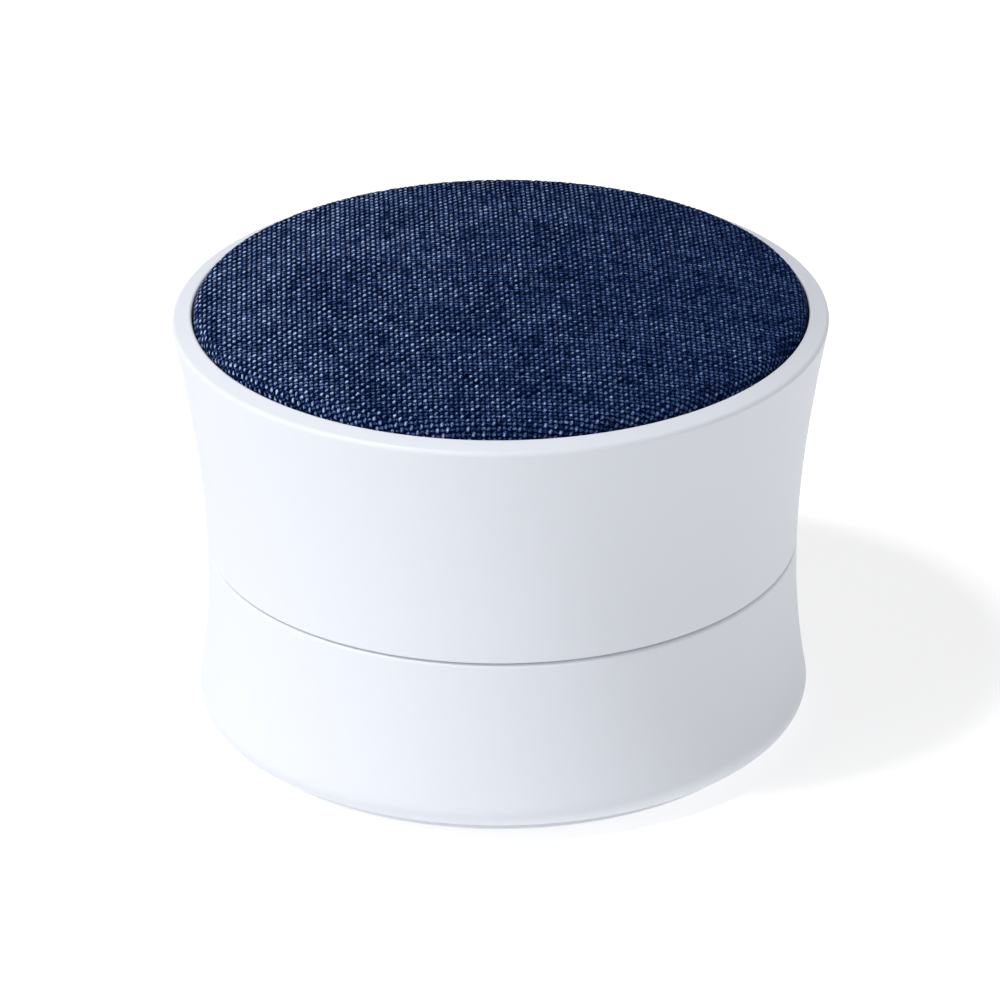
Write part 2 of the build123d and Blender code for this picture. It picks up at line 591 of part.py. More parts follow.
def driver_basket():
    """The pressed steel basket: flange, open cone, spider ledge and cup."""
    cone_foot = SPIDER_LEDGE_RADIUS + 0.5
    sheet = BASKET_SHEET
    basket = turned(
        [
            (DRIVER_FLANGE_RADIUS, FLANGE_THICKNESS),
            (DRIVER_FLANGE_RADIUS, 0),
            (DRIVER_BASKET_RADIUS, 0),
            (cone_foot, -SPIDER_LEDGE_DEPTH - sheet),
            (BASKET_CUP_RADIUS + sheet, -SPIDER_LEDGE_DEPTH - sheet),
            (BASKET_CUP_RADIUS + sheet, -BASKET_DEPTH),
            (MAGNET_BORE_RADIUS, -BASKET_DEPTH),
            (MAGNET_BORE_RADIUS, -BASKET_DEPTH + sheet),
            (BASKET_CUP_RADIUS, -BASKET_DEPTH + sheet),
            (BASKET_CUP_RADIUS, -SPIDER_LEDGE_DEPTH),
            (SPIDER_LEDGE_RADIUS, -SPIDER_LEDGE_DEPTH),
            (DRIVER_BASKET_RADIUS - sheet * 0.7, FLANGE_THICKNESS),
        ]
    )
    window_top, window_bottom = -sheet, -SPIDER_LEDGE_DEPTH + sheet
    for angle in at_angles(4, 45.0):
        window = Pos(SPIDER_LEDGE_RADIUS - 2, 0, window_bottom) * Box(
            DRIVER_BASKET_RADIUS,
            BASKET_WINDOW_WIDTH,
            window_top - window_bottom,
            align=(Align.MIN, Align.CENTER, Align.MIN),
        )
        basket -= Rot(0, 0, angle) * window
    for angle in at_angles(DRIVER_SCREWS):
        basket -= peg(SMALL_SCREW_RADIUS + FIT_GAP, *polar(DRIVER_SCREW_CIRCLE, angle), -1, 2)
    for angle in at_angles(CLIPS, 45.0):  # a wide flange makes room for the grille's clips
        clip = block(CLIP_THICKNESS + 2 * LOOSE_GAP, CLIP_WIDTH + 2 * LOOSE_GAP, CLIP_RADIUS, 0, -1, 2)
        basket -= Rot(0, 0, angle) * clip
    for angle in at_angles(BAFFLE_SCREWS):  # and leaves the baffle's screws within reach
        place = polar(BAFFLE_RADIUS - BAFFLE_SCREW_INSET, angle)
        basket -= peg(SMALL_SCREW_HEAD[0] + LOOSE_GAP, *place, -1, 2)
    return on_baffle(basket)


def driver_magnet_parts():
    """The top plate, the ring magnet and the yoke with its pole."""
    yoke = disc(TOP_PLATE_RADIUS, YOKE_TOP - YOKE_THICKNESS, YOKE_TOP) + disc(POLE_RADIUS, YOKE_TOP, PLATE_TOP)
    yoke = chamfer(circles(yoke, 0), 0.5)
    return {
        "driver_top_plate": on_baffle(ring(TOP_PLATE_RADIUS, GAP_RADIUS, MAGNET_TOP, PLATE_TOP)),
        "driver_magnet": on_baffle(ring(MAGNET_RADIUS, MAGNET_BORE_RADIUS, YOKE_TOP, MAGNET_TOP)),
        "driver_yoke": on_baffle(yoke),
    }


def driver_moving_parts():
    """The cone, dust cap, coil former and winding, which move together."""
    start, lip_top = COIL_SLOPE_START, CONE_TOP + CONE_WALL
    wall = CONE_WALL * 1.3
    cone = turned(
        [
            (start, CONE_TOP - CONE_DEPTH - wall),
            (CONE_RADIUS - CONE_LIP, CONE_TOP),
            (CONE_RADIUS, CONE_TOP),
            (CONE_RADIUS, lip_top),
            (CONE_RADIUS - CONE_LIP - CONE_WALL / 2, lip_top),
            (start, CONE_TOP - CONE_DEPTH),
        ]
    )
    slope = (CONE_DEPTH + CONE_WALL) / (CONE_RADIUS - CONE_LIP - CONE_WALL / 2 - start)
    cap_foot = CONE_TOP - CONE_DEPTH + slope * (DUST_CAP_RADIUS - start) + SCREW_FIT
    ball = (DUST_CAP_RADIUS**2 + DUST_CAP_RISE**2) / (2 * DUST_CAP_RISE)
    middle = Pos(0, 0, cap_foot + DUST_CAP_RISE - ball)
    cap = middle * Sphere(ball) - middle * Sphere(ball - DUST_CAP_WALL)
    cap = cap & disc(DUST_CAP_RADIUS + 1, cap_foot, cap_foot + 2 * DUST_CAP_RISE)
    former_top = CONE_TOP - CONE_DEPTH + CONE_WALL
    former_out = FORMER_RADIUS + FORMER_WALL
    coil_middle = PLATE_TOP - TOP_PLATE_THICKNESS / 2
    return {
        "driver_cone": on_baffle(cone),
        "driver_dust_cap": on_baffle(cap),
        "coil_former": on_baffle(ring(former_out, FORMER_RADIUS, former_top - FORMER_LENGTH, former_top)),
        "coil_winding": on_baffle(
            ring(
                former_out + WINDING_WALL,
                former_out,
                coil_middle - WINDING_LENGTH / 2,
                coil_middle + WINDING_LENGTH / 2,
            )
        ),
    }


def driver_surround():
    """The half-roll rubber edge between the cone's lip and the flange."""
    foot = CONE_TOP + CONE_WALL
    inner_end, outer_start = CONE_RADIUS, SURROUND_OUTER_RADIUS - SURROUND_FLANGE
    roll = (outer_start - inner_end) / 2
    middle = (inner_end + outer_start) / 2
    outline = Pos(middle, foot) * (Circle(roll) - Circle(roll - SURROUND_WALL))
    outline &= Pos(middle, foot) * Rectangle(4 * roll, 2 * roll, align=(Align.CENTER, Align.MIN))
    inner_flange = CONE_LIP + SURROUND_WALL
    outline += Pos(inner_end - CONE_LIP, foot) * Rectangle(inner_flange, SURROUND_WALL, align=(Align.MIN, Align.MIN))
    outline += Pos(SURROUND_OUTER_RADIUS, foot) * Rectangle(
        SURROUND_FLANGE + SURROUND_WALL, SURROUND_WALL, align=(Align.MAX, Align.MIN)
    )
    return on_baffle(revolve(Plane.XZ * outline, Axis.Z))


def driver_spider():
    """The corrugated cloth disc that centres the coil."""
    inner = COIL_SLOPE_START + FIT_GAP / 2
    wave_start, wave_end = inner + 1.0, BASKET_CUP_RADIUS - 0.4
    lower = [(inner, 0)]
    steps = 2 * SPIDER_WAVES
    for k in range(steps + 1):
        radius = wave_start + (wave_end - wave_start) * k / steps
        lower.append((radius, SPIDER_WAVE_HEIGHT * (k % 2)))
    lower.append((SPIDER_LEDGE_RADIUS - FIT_GAP, 0))
    upper = [(r, h + SPIDER_WALL) for r, h in reversed(lower)]
    return on_baffle(Pos(0, 0, -SPIDER_LEDGE_DEPTH) * turned(lower + upper))


def driver_gasket():
    """The card ring over the surround's outer edge."""
    foot = CONE_TOP + CONE_WALL + SURROUND_WALL
    return on_baffle(
        ring(SURROUND_OUTER_RADIUS, SURROUND_OUTER_RADIUS - SURROUND_FLANGE, foot, foot + DRIVER_GASKET_HEIGHT)
    )


TERMINAL_X = SPIDER_LEDGE_RADIUS + 3.8  # inner face of the terminal board
TERMINAL_Z = -5.2  # height of the soldered joints


def driver_terminals():
    """The terminal board on its foot under the spider ledge, and its two lugs."""
    foot_top = -SPIDER_LEDGE_DEPTH - BASKET_SHEET
    foot = Pos(TERMINAL_X + 0.8, 0, foot_top - 0.8) * Box(
        TERMINAL_X + 0.8 - BASKET_CUP_RADIUS - BASKET_SHEET - FIT_GAP,
        8.0,
        0.8,
        align=(Align.MAX, Align.CENTER, Align.MIN),
    )
    card = Pos(TERMINAL_X, 0, foot_top - 0.8) * Box(0.8, 8.0, 4.8, align=(Align.MIN, Align.CENTER, Align.MIN))
    lugs = []
    for side in (-1, 1):
        lug = Pos(TERMINAL_X + 0.8, side * WIRE_SPACING, TERMINAL_Z) * Box(
            0.3, 1.6, 2.6, align=(Align.MIN, Align.CENTER, Align.CENTER)
        )
        lugs.append(on_baffle(lug))
    return {"driver_terminal_board": on_baffle(foot + card), "driver_terminal_lugs": gather(lugs)}


# ---------------------------------------------------------------- electronics
def on_board(x_size, y_size, height, x, y):
    """A part standing on the main board."""
    return block(x_size, y_size, x, y, BOARD_TOP, BOARD_TOP + height)


def wall_inside(x, z):
    """The y of the inside of the back wall at a place."""
    return math.sqrt((body_radius(z) - SHELL_WALL) ** 2 - x**2)


USB_MOUTH = wall_inside(USB_WIDTH / 2, PORT_HEIGHT) - USB_TO_WALL


def main_board():
    """The round main board with a tongue that reaches the back wall."""
    board = disc(BOARD_RADIUS, BOARD_BOTTOM, BOARD_TOP)
    tongue_end = min(USB_MOUTH - USB_TO_WALL, wall_inside(BOARD_TONGUE_HALF, BOARD_BOTTOM) - LOOSE_GAP)
    tongue = Pos(0, 0, BOARD_BOTTOM) * Box(
        2 * BOARD_TONGUE_HALF, tongue_end, BOARD_THICKNESS, align=(Align.CENTER, Align.MIN, Align.MIN)
    )
    board += tongue
    notch = 2 * (MICROPHONE_RADIUS + 0.5 + LOOSE_GAP)
    board -= block(notch, notch, MICROPHONE_X, tongue_end, BOARD_BOTTOM - 1, BOARD_TOP + 1)
    for side in (-1, 1):
        post = GUIDE_POST + KEY_BOARD_THICKNESS + 2 * LOOSE_GAP
        x = side * (BOARD_TONGUE_HALF + post / 2 + FIT_GAP)
        board -= block(post, post, x, KEY_BOARD_Y + KEY_BOARD_THICKNESS / 2, BOARD_BOTTOM - 1, BOARD_TOP + 1)
    for place in BOARD_SCREW_PLACES:
        board -= peg(SMALL_SCREW_RADIUS + FIT_GAP, *place, BOARD_BOTTOM - 1, BOARD_TOP + 1)
    for angle in COLUMN_ANGLES:  # clears the screw columns where they stand close in
        place = polar(COLUMN_CIRCLE, angle)
        board -= peg(COLUMN_RADIUS + 2 * LOOSE_GAP, *place, BOARD_BOTTOM - 1, BOARD_TOP + 1)
    return board


def antenna_trace():
    """The folded copper aerial on the board."""
    turns, stroke, height, pitch = 4, 0.6, 0.08, 1.3
    left, front, rise = -15.6, 11.6, 3.4
    trace = on_board(stroke, rise, height, left, front + rise / 2)
    for k in range(turns):
        x = left + k * pitch
        end = front + (rise if k % 2 == 0 else 0)
        trace += on_board(pitch + stroke, stroke, height, x + pitch / 2, end)
        trace += on_board(stroke, rise, height, x + pitch, front + rise / 2)
    return trace


def board_parts():
    """The chips and other parts soldered to the main board."""
    capacitors = []
    for x, y in ((12.4, 8.4), (7.2, 7.4)):
        can = peg(2.3, x, y, BOARD_TOP + 0.5, BOARD_TOP + 5.4)
        can = fillet(circles(can, -1), 0.4)
        capacitors.append(can + on_board(5.0, 5.0, 0.6, x, y))
    chips = []
    for k in range(6):
        chips.append(on_board(1.6, 0.8, 0.5, -9.0 + 2.6 * k, 20.2))
    for k in range(4):
        chips.append(on_board(0.8, 1.6, 0.5, 2.6, 9.0 + 2.4 * k))
    for k in range(4):
        chips.append(on_board(1.2, 0.8, 0.5, 8.4 + 2.2 * k, 18.6))
    inductor = peg(2.0, -0.8, 6.4, BOARD_TOP + 0.5, BOARD_TOP + 2.2) + on_board(4.4, 4.4, 0.5, -0.8, 6.4)
    return {
        "bluetooth_chip": on_board(6.0, 6.0, 0.9, -4.6, 13.6),
        "amplifier_chip": on_board(5.0, 4.0, 1.5, 8.4, 14.0),
        "crystal": on_board(3.2, 2.5, 0.8, -9.6, 8.2),
        "power_inductor": inductor,
        "smoothing_capacitors": gather(capacitors),
        "surface_mount_parts": gather(chips),
        "antenna_trace": antenna_trace(),
    }


def usb_socket():
    """The charging socket's metal shell and the tongue with its contacts."""
    back = USB_MOUTH - USB_DEPTH
    cut = 0.9

    def outline(inset):
        half, high = USB_WIDTH / 2 - inset, USB_HEIGHT / 2 - inset
        return make_face(
            Polyline(
                (-half, high),
                (half, high),
                (half, -high + cut),
                (half - cut, -high),
                (-half + cut, -high),
                (-half, -high + cut),
                close=True,
            )
        )

    plane = Plane((0, back, PORT_HEIGHT), x_dir=(-1, 0, 0), z_dir=(0, 1, 0))
    shell = extrude(plane * outline(0), USB_DEPTH)
    shell -= Pos(0, USB_WALL, 0) * extrude(plane * outline(USB_WALL), USB_DEPTH)
    tongue = block(
        3.8,
        USB_DEPTH - 2 * USB_WALL,
        0,
        back + USB_DEPTH / 2,
        PORT_HEIGHT + 0.1,
        PORT_HEIGHT + 0.6,
    )
    for k in range(5):
        tongue += block(0.35, 3.2, (k - 2) * 0.65, back + USB_DEPTH / 2, PORT_HEIGHT - 0.05, PORT_HEIGHT + 0.1)
    tongue += block(5.4, 0.6, 0, back + USB_WALL + 0.3, PORT_HEIGHT - 0.3, PORT_HEIGHT + 0.9)
    return {"usb_socket_shell": shell, "usb_socket_tongue": tongue}


def lamp_and_microphone():
    """The charging lamp with its light pipe, and the microphone in its rubber boot."""
    led_front = wall_inside(LAMP_X, PORT_HEIGHT) - 2.6
    led = block(1.8, 1.2, LAMP_X, led_front - 0.6, BOARD_TOP, BOARD_TOP + 2.2)
    pipe = rod_y(LIGHT_PIPE_RADIUS, LAMP_X, PORT_HEIGHT, led_front + FIT_GAP, RIM_RADIUS)
    pipe &= body_form(0, PORT_HEIGHT - 3, PORT_HEIGHT + 3)
    front = wall_inside(MICROPHONE_X - MICROPHONE_RADIUS - 0.5, PORT_HEIGHT) - LOOSE_GAP
    mic_front = front - 0.8
    capsule = rod_y(MICROPHONE_RADIUS, MICROPHONE_X, PORT_HEIGHT, mic_front - MICROPHONE_DEPTH, mic_front)
    boot = rod_y(MICROPHONE_RADIUS + 0.5, MICROPHONE_X, PORT_HEIGHT, mic_front - MICROPHONE_DEPTH, front)
    boot -= capsule
    boot -= rod_y(MICROPHONE_HOLE_RADIUS, MICROPHONE_X, PORT_HEIGHT, mic_front, RIM_RADIUS)
    return {"status_led": led, "light_pipe": pipe, "microphone": capsule, "microphone_boot": boot}


def battery_parts():
    """The pouch cell on its foam pad, with its protection board."""
    wide, long, high = BATTERY_SIZE
    middle = BATTERY_BACK - long / 2
    bottom = BOARD_TOP + PAD_THICKNESS
    cell = block(wide, long, 0, middle, bottom, bottom + high)
    cell = fillet(cell.edges().filter_by(Axis.Y), high * 0.3)
    card = block(wide - 4, 1.2, 0, BATTERY_BACK + 0.6, bottom + 1, bottom + high - 1)
    return {
        "battery_cell": cell,
        "battery_foam_pad": on_board(wide - 3, long - 2, PAD_THICKNESS, 0, middle),
        "battery_protection_board": card,
    }


def connector(side):
    """A small two-way wire connector standing on the board."""
    wide, long, high = CONNECTOR_SIZE
    x, y = CONNECTOR_PLACE
    body = on_board(wide, long, high, side * x, y)
    return chamfer(body.edges().filter_by(Axis.Z), 0.3)


def wire(points, radii):
    """A round wire along straight runs joined by arcs."""
    path = FilletPolyline(*points, radius=radii)
    section = Plane(origin=path @ 0, z_dir=path % 0) * Circle(WIRE_RADIUS)
    return sweep(section, path=path)


def wires():
    """The red and black leads of the battery and of the driver."""
    made = {}
    plug_x, plug_y = CONNECTOR_PLACE
    plug_top = BOARD_TOP + CONNECTOR_SIZE[2]
    card_z = BOARD_TOP + PAD_THICKNESS + BATTERY_SIZE[2] / 2
    lug_z = BAFFLE_TOP + TERMINAL_Z
    lug_x = TERMINAL_X + 1.1
    for colour, side in (("red", 1), ("black", -1)):
        shift = side * WIRE_SPACING / 2
        end = (-plug_x, plug_y + shift, plug_top)
        start = (-5.0 - shift, BATTERY_BACK + 1.2, card_z)
        made["battery_wire_" + colour] = wire(
            [
                start,
                (start[0], start[1] + 2.0 + shift * 0.4, card_z),
                (start[0] - 3.0, start[1] + 3.2 + shift, card_z + 5.0),
                (-plug_x + 1.5, plug_y + shift, plug_top + 5.0),
                (end[0], end[1], plug_top + 2.5),
                end,
            ],
            [0.9, 2.0, 1.6, 1.0],
        )
        start = (lug_x, side * WIRE_SPACING, lug_z)
        end = (plug_x, plug_y + shift, plug_top)
        made["speaker_wire_" + colour] = wire(
            [
                start,
                (lug_x + 2.2, side * WIRE_SPACING, lug_z),
                (lug_x + 2.8, side * WIRE_SPACING + 0.6, lug_z - 8.0),
                (lug_x + 1.6, plug_y * 0.6 + shift * 1.4, plug_top + 10.0),
                (plug_x, plug_y + shift, plug_top + 4.0),
                end,
            ],
            [1.8, 6.0, 5.0, 2.5],
        )
    return made


# ---------------------------------------------------------------- keys and their switches
def key_mark(kind, x):
    """The sunk sign in a key's face: minus, play and pause, or plus."""
    deep = body_radius(KEY_HEIGHT) + KEY_PROUD
    face = math.sqrt(deep**2 - x**2) - KEY_MARK_DEPTH
    size, stroke = KEY_MARK_SIZE, KEY_MARK_STROKE
    plane = Plane((x, face, KEY_HEIGHT), x_dir=(-1, 0, 0), z_dir=(0, 1, 0))
    if kind == "play":
        arrow = make_face(
            Polyline((-size * 0.55, size * 0.4), (-size * 0.55, -size * 0.4), (size * 0.1, 0), close=True)
        )
        bars = Pos(size * 0.27, 0) * Rectangle(stroke * 0.7, size * 0.8)
        bars += Pos(size * 0.52, 0) * Rectangle(stroke * 0.7, size * 0.8)
        sign = arrow + bars
    else:
        sign = Rectangle(size, stroke)
        if kind == "plus":
            sign += Rectangle(stroke, size)
    return extrude(plane * sign, 4 * KEY_PROUD + KEY_MARK_DEPTH)


def key(kind, x):
    """A round key that follows the body's curve, with a flange inside the wall and a post to its switch."""
    low, high = KEY_HEIGHT - 2 * KEY_RADIUS, KEY_HEIGHT + 2 * KEY_RADIUS
    back = body_radius(KEY_HEIGHT) * 0.75
    flange_out = body_form(SHELL_WALL + KEY_HOLE_GAP, low, high)
    flange_in = body_form(SHELL_WALL + KEY_HOLE_GAP + KEY_FLANGE_THICKNESS, low, high)
    cap = rod_y(KEY_RADIUS, x, KEY_HEIGHT, back, RIM_RADIUS + 1) & body_form(-KEY_PROUD, low, high)
    cap = fillet(cap.edges().sort_by(Axis.Y)[-1], KEY_EDGE)
    cap -= flange_in
    flange = rod_y(KEY_RADIUS + KEY_FLANGE, x, KEY_HEIGHT, back, RIM_RADIUS + 1) & flange_out
    flange -= flange_in
    contact = KEY_BOARD_Y + KEY_BOARD_THICKNESS + SWITCH_DEPTH + PLUNGER_PROUD
    post = rod_y(POST_RADIUS, x, KEY_HEIGHT, contact, wall_inside(x, KEY_HEIGHT))
    return cap + flange + post - key_mark(kind, x)


def key_parts():
    """The three keys, their switches, the key board and its header."""
    front = KEY_BOARD_Y + KEY_BOARD_THICKNESS
    switch_front = front + SWITCH_DEPTH
    bodies, made = [], {}
    for (name, kind), x in zip((("volume_up", "plus"), ("play", "play"), ("volume_down", "minus")), key_places()):
        made[name + "_key"] = key(kind, x)
        body = slab_y(SWITCH_SIDE, SWITCH_SIDE, x, KEY_HEIGHT, front, switch_front, 0.4)
        pit_bottom = switch_front - PLUNGER_PROUD - KEY_TRAVEL - FIT_GAP
        body -= rod_y(PLUNGER_RADIUS + FIT_GAP, x, KEY_HEIGHT, pit_bottom, switch_front + 1)
        bodies.append(body)
        made[name + "_plunger"] = rod_y(
            PLUNGER_RADIUS, x, KEY_HEIGHT, switch_front - PLUNGER_PROUD, switch_front + PLUNGER_PROUD
        )
    made["key_switch_bodies"] = gather(bodies)
    made["key_board"] = slab_y(
        2 * KEY_BOARD_HALF,
        KEY_BOARD_TOP - KEY_BOARD_BOTTOM,
        0,
        (KEY_BOARD_TOP + KEY_BOARD_BOTTOM) / 2,
        KEY_BOARD_Y,
        front,
        0.5,
    )
    header = on_board(8.4, 1.9, 2.3, 0, KEY_BOARD_Y - 1.3)
    for k in range(4):
        x = (k - 1.5) * 2.0
        header += block(0.6, 0.6, x, KEY_BOARD_Y - 1.3, BOARD_TOP, KEY_BOARD_BOTTOM + 1.6)
        header += block(0.6, 1.3, x, KEY_BOARD_Y - 0.65, KEY_BOARD_BOTTOM + 1.0, KEY_BOARD_BOTTOM + 1.6)
    made["key_header"] = header
    return made


# ---------------------------------------------------------------- power switch
def power_switch():
    """The slide switch under the board: its body, its lever and the ribbed pad in the base cover."""
    wide, deep, high = POWER_BODY
    lever_x, lever_y = POWER_LEVER
    pad_x, pad_y = POWER_PAD
    off = -POWER_TRAVEL / 2
    body_bottom = BOARD_BOTTOM - high
    slot_top = body_bottom + high * 0.6
    body = block(wide, deep, 0, POWER_Y, body_bottom, BOARD_BOTTOM)
    body -= block(
        lever_x + POWER_TRAVEL + 2 * FIT_GAP, lever_y + 2 * FIT_GAP, 0, POWER_Y, body_bottom - 1, slot_top
    )
    pad_top = BASE_UNDERSIDE + POWER_PAD_RECESS - FIT_GAP
    pad_bottom = BASE_UNDERSIDE - 0.1
    lever = block(lever_x, lever_y, off, POWER_Y, pad_top, slot_top - FIT_GAP)
    pad = block(pad_x, pad_y, off, POWER_Y, pad_bottom, pad_top)
    pad = fillet(pad.edges().filter_by(Axis.Z), 0.4)
    rib = pad_x / (2 * POWER_PAD_RIBS + 1)
    for k in range(POWER_PAD_RIBS):
        x = off + (k - (POWER_PAD_RIBS - 1) / 2) * 2 * rib
        pad -= block(rib, pad_y + 1, x, POWER_Y, pad_bottom - 1, pad_bottom + 0.3)
    return {"power_switch_body": body, "power_switch_lever": lever, "power_slider": pad}


# ---------------------------------------------------------------- fasteners
def fasteners():
    """Every screw, each kind as a group."""
    shell = [
        screw(SHELL_SCREW_RADIUS, SHELL_SCREW_LENGTH, SHELL_SCREW_HEAD, SHELL_SCREW_SEAT, polar(COLUMN_CIRCLE, a))
        for a in COLUMN_ANGLES
    ]
    base_seat = BASE_UNDERSIDE + SMALL_SCREW_HEAD[1] + LOOSE_GAP
    base = [
        screw(SMALL_SCREW_RADIUS, BASE_SCREW_LENGTH, SMALL_SCREW_HEAD, base_seat, polar(BASE_SCREW_CIRCLE, a))
        for a in at_angles(BASE_SCREWS)
    ]
    board_length = BOARD_THICKNESS + BOARD_CLEARANCE + FLOOR_THICKNESS / 2 - LOOSE_GAP
    board = [
        screw(SMALL_SCREW_RADIUS, board_length, BOARD_SCREW_HEAD, BOARD_TOP, place, up=False)
        for place in BOARD_SCREW_PLACES
    ]
    driver = [
        screw(
            SMALL_SCREW_RADIUS,
            BAFFLE_SCREW_LENGTH,
            DRIVER_SCREW_HEAD,
            BAFFLE_TOP + FLANGE_THICKNESS,
            polar(DRIVER_SCREW_CIRCLE, a),
            up=False,
        )
        for a in at_angles(DRIVER_SCREWS)
    ]
    baffle_seat = BAFFLE_TOP - SMALL_SCREW_HEAD[1] - FIT_GAP
    baffle = [
        screw(
            SMALL_SCREW_RADIUS,
            BAFFLE_SCREW_LENGTH,
            SMALL_SCREW_HEAD,
            baffle_seat,
            polar(BAFFLE_RADIUS - BAFFLE_SCREW_INSET, a),
            up=False,
        )
        for a in at_angles(BAFFLE_SCREWS)
    ]
    return {
        "shell_screws": gather(shell),
        "base_screws": gather(base),
        "board_screws": gather(board),
        "driver_screws": gather(driver),
        "baffle_screws": gather(baffle),
    }


def build():
    """Every node of the loudspeaker, by name."""
    nodes = {
        "upper_shell": upper_shell(),
        "lower_shell": lower_shell(),
        "base_cover": base_cover(),
        "foot_ring": foot_ring(),
        "grille_cloth": grille_cloth(),
        "grille_frame": grille_frame(),
        "driver_baffle": driver_baffle(),
        "driver_basket": driver_basket(),
        "driver_surround": driver_surround(),
        "driver_spider": driver_spider(),
        "driver_gasket": driver_gasket(),
        "main_board": main_board(),
        "battery_connector": connector(-1),
        "speaker_connector": connector(1),
    }
    groups = (driver_magnet_parts, driver_moving_parts, driver_terminals, board_parts, usb_socket)
    groups += (lamp_and_microphone, battery_parts, wires, key_parts, power_switch, fasteners)
    for make in groups:
        nodes.update(make())
    return nodes


os.makedirs("parts", exist_ok=True)
for node, shape in build().items():
    export_step(shape, f"parts/{node}.step")
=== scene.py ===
"""The looks of a small round loudspeaker: woven cloth, moulded shells, keys, socket and its works."""

import json
import logging
import math
from dataclasses import dataclass
from enum import Enum
from typing import Any, Iterable, Optional

import bmesh
import bpy
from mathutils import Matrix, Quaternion, Vector, noise
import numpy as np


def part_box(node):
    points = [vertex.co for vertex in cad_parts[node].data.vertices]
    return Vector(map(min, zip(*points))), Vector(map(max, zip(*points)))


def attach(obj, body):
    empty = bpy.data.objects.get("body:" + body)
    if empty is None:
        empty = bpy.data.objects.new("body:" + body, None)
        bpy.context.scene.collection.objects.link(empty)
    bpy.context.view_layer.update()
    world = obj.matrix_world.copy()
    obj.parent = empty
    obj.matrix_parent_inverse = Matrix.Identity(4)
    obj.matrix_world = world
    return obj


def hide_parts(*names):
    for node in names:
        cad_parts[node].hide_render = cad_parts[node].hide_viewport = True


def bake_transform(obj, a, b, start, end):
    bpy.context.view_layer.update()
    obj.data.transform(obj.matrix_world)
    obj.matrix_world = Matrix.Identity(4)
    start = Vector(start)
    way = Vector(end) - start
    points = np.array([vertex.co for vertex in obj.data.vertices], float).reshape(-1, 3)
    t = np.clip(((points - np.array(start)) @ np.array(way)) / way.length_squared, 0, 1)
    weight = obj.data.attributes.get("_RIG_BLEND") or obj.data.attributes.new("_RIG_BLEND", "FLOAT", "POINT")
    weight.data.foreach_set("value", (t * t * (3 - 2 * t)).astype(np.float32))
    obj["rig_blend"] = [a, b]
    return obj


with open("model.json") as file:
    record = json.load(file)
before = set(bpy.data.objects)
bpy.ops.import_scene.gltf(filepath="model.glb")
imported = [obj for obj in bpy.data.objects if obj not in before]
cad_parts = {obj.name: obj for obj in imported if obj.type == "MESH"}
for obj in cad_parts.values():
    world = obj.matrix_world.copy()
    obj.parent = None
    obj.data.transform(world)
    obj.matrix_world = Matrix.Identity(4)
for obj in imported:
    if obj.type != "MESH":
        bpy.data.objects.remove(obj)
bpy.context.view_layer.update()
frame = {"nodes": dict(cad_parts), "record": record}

MM = 0.001
LOG = logging.getLogger("loudspeaker")
SLOT_OF = {row["node"]: row["material_slot"] for row in frame["record"]["subparts"]}
ENCLOSURE = "enclosure"
CONE_BODY = "diaphragm"
CLOTH_MAP = "OFBake"
MERGE_DISTANCE = 1e-7
AT_CENTRE = 1e-9


# ------------------------------------------------------------------ shader helpers
class Flow:
    """A node's output that can be used in Python arithmetic."""

    def __init__(self, paint: "Paint", socket: Optional[bpy.types.NodeSocket]) -> None:
        """Wraps one socket of a material that is being made."""
        self.paint = paint
        self.socket = socket

    def math(self, operation: str, *others: Any, clamp: bool = False) -> "Flow":
        """Adds a Math node.

        Args:
            operation: the Math node's operation.
            others: the second and third operands.
            clamp: whether the result is held between 0 and 1.

        Returns:
            The node's result.
        """
        settings = {"operation": operation, "use_clamp": clamp}
        operands = {index: value for index, value in enumerate((self, *others))}
        return self.paint.add("ShaderNodeMath", settings, operands)

    def __add__(self, other: Any) -> "Flow":
        """The sum."""
        return self.math("ADD", other)

    __radd__ = __add__

    def __mul__(self, other: Any) -> "Flow":
        """The product."""
        return self.math("MULTIPLY", other)

    __rmul__ = __mul__

    def __sub__(self, other: Any) -> "Flow":
        """The difference."""
        return self.math("SUBTRACT", other)

    def __rsub__(self, other: Any) -> "Flow":
        """The difference, the other way round."""
        return (self * -1.0) + other

    def __truediv__(self, other: Any) -> "Flow":
        """The quotient."""
        return self.math("DIVIDE", other)

    def above(self, level: float, soft: float) -> "Flow":
        """A soft step from 0 to 1 about a level, over a width of soft."""
        return ((self - (level - soft / 2)) / soft).math("MULTIPLY", 1.0, clamp=True)


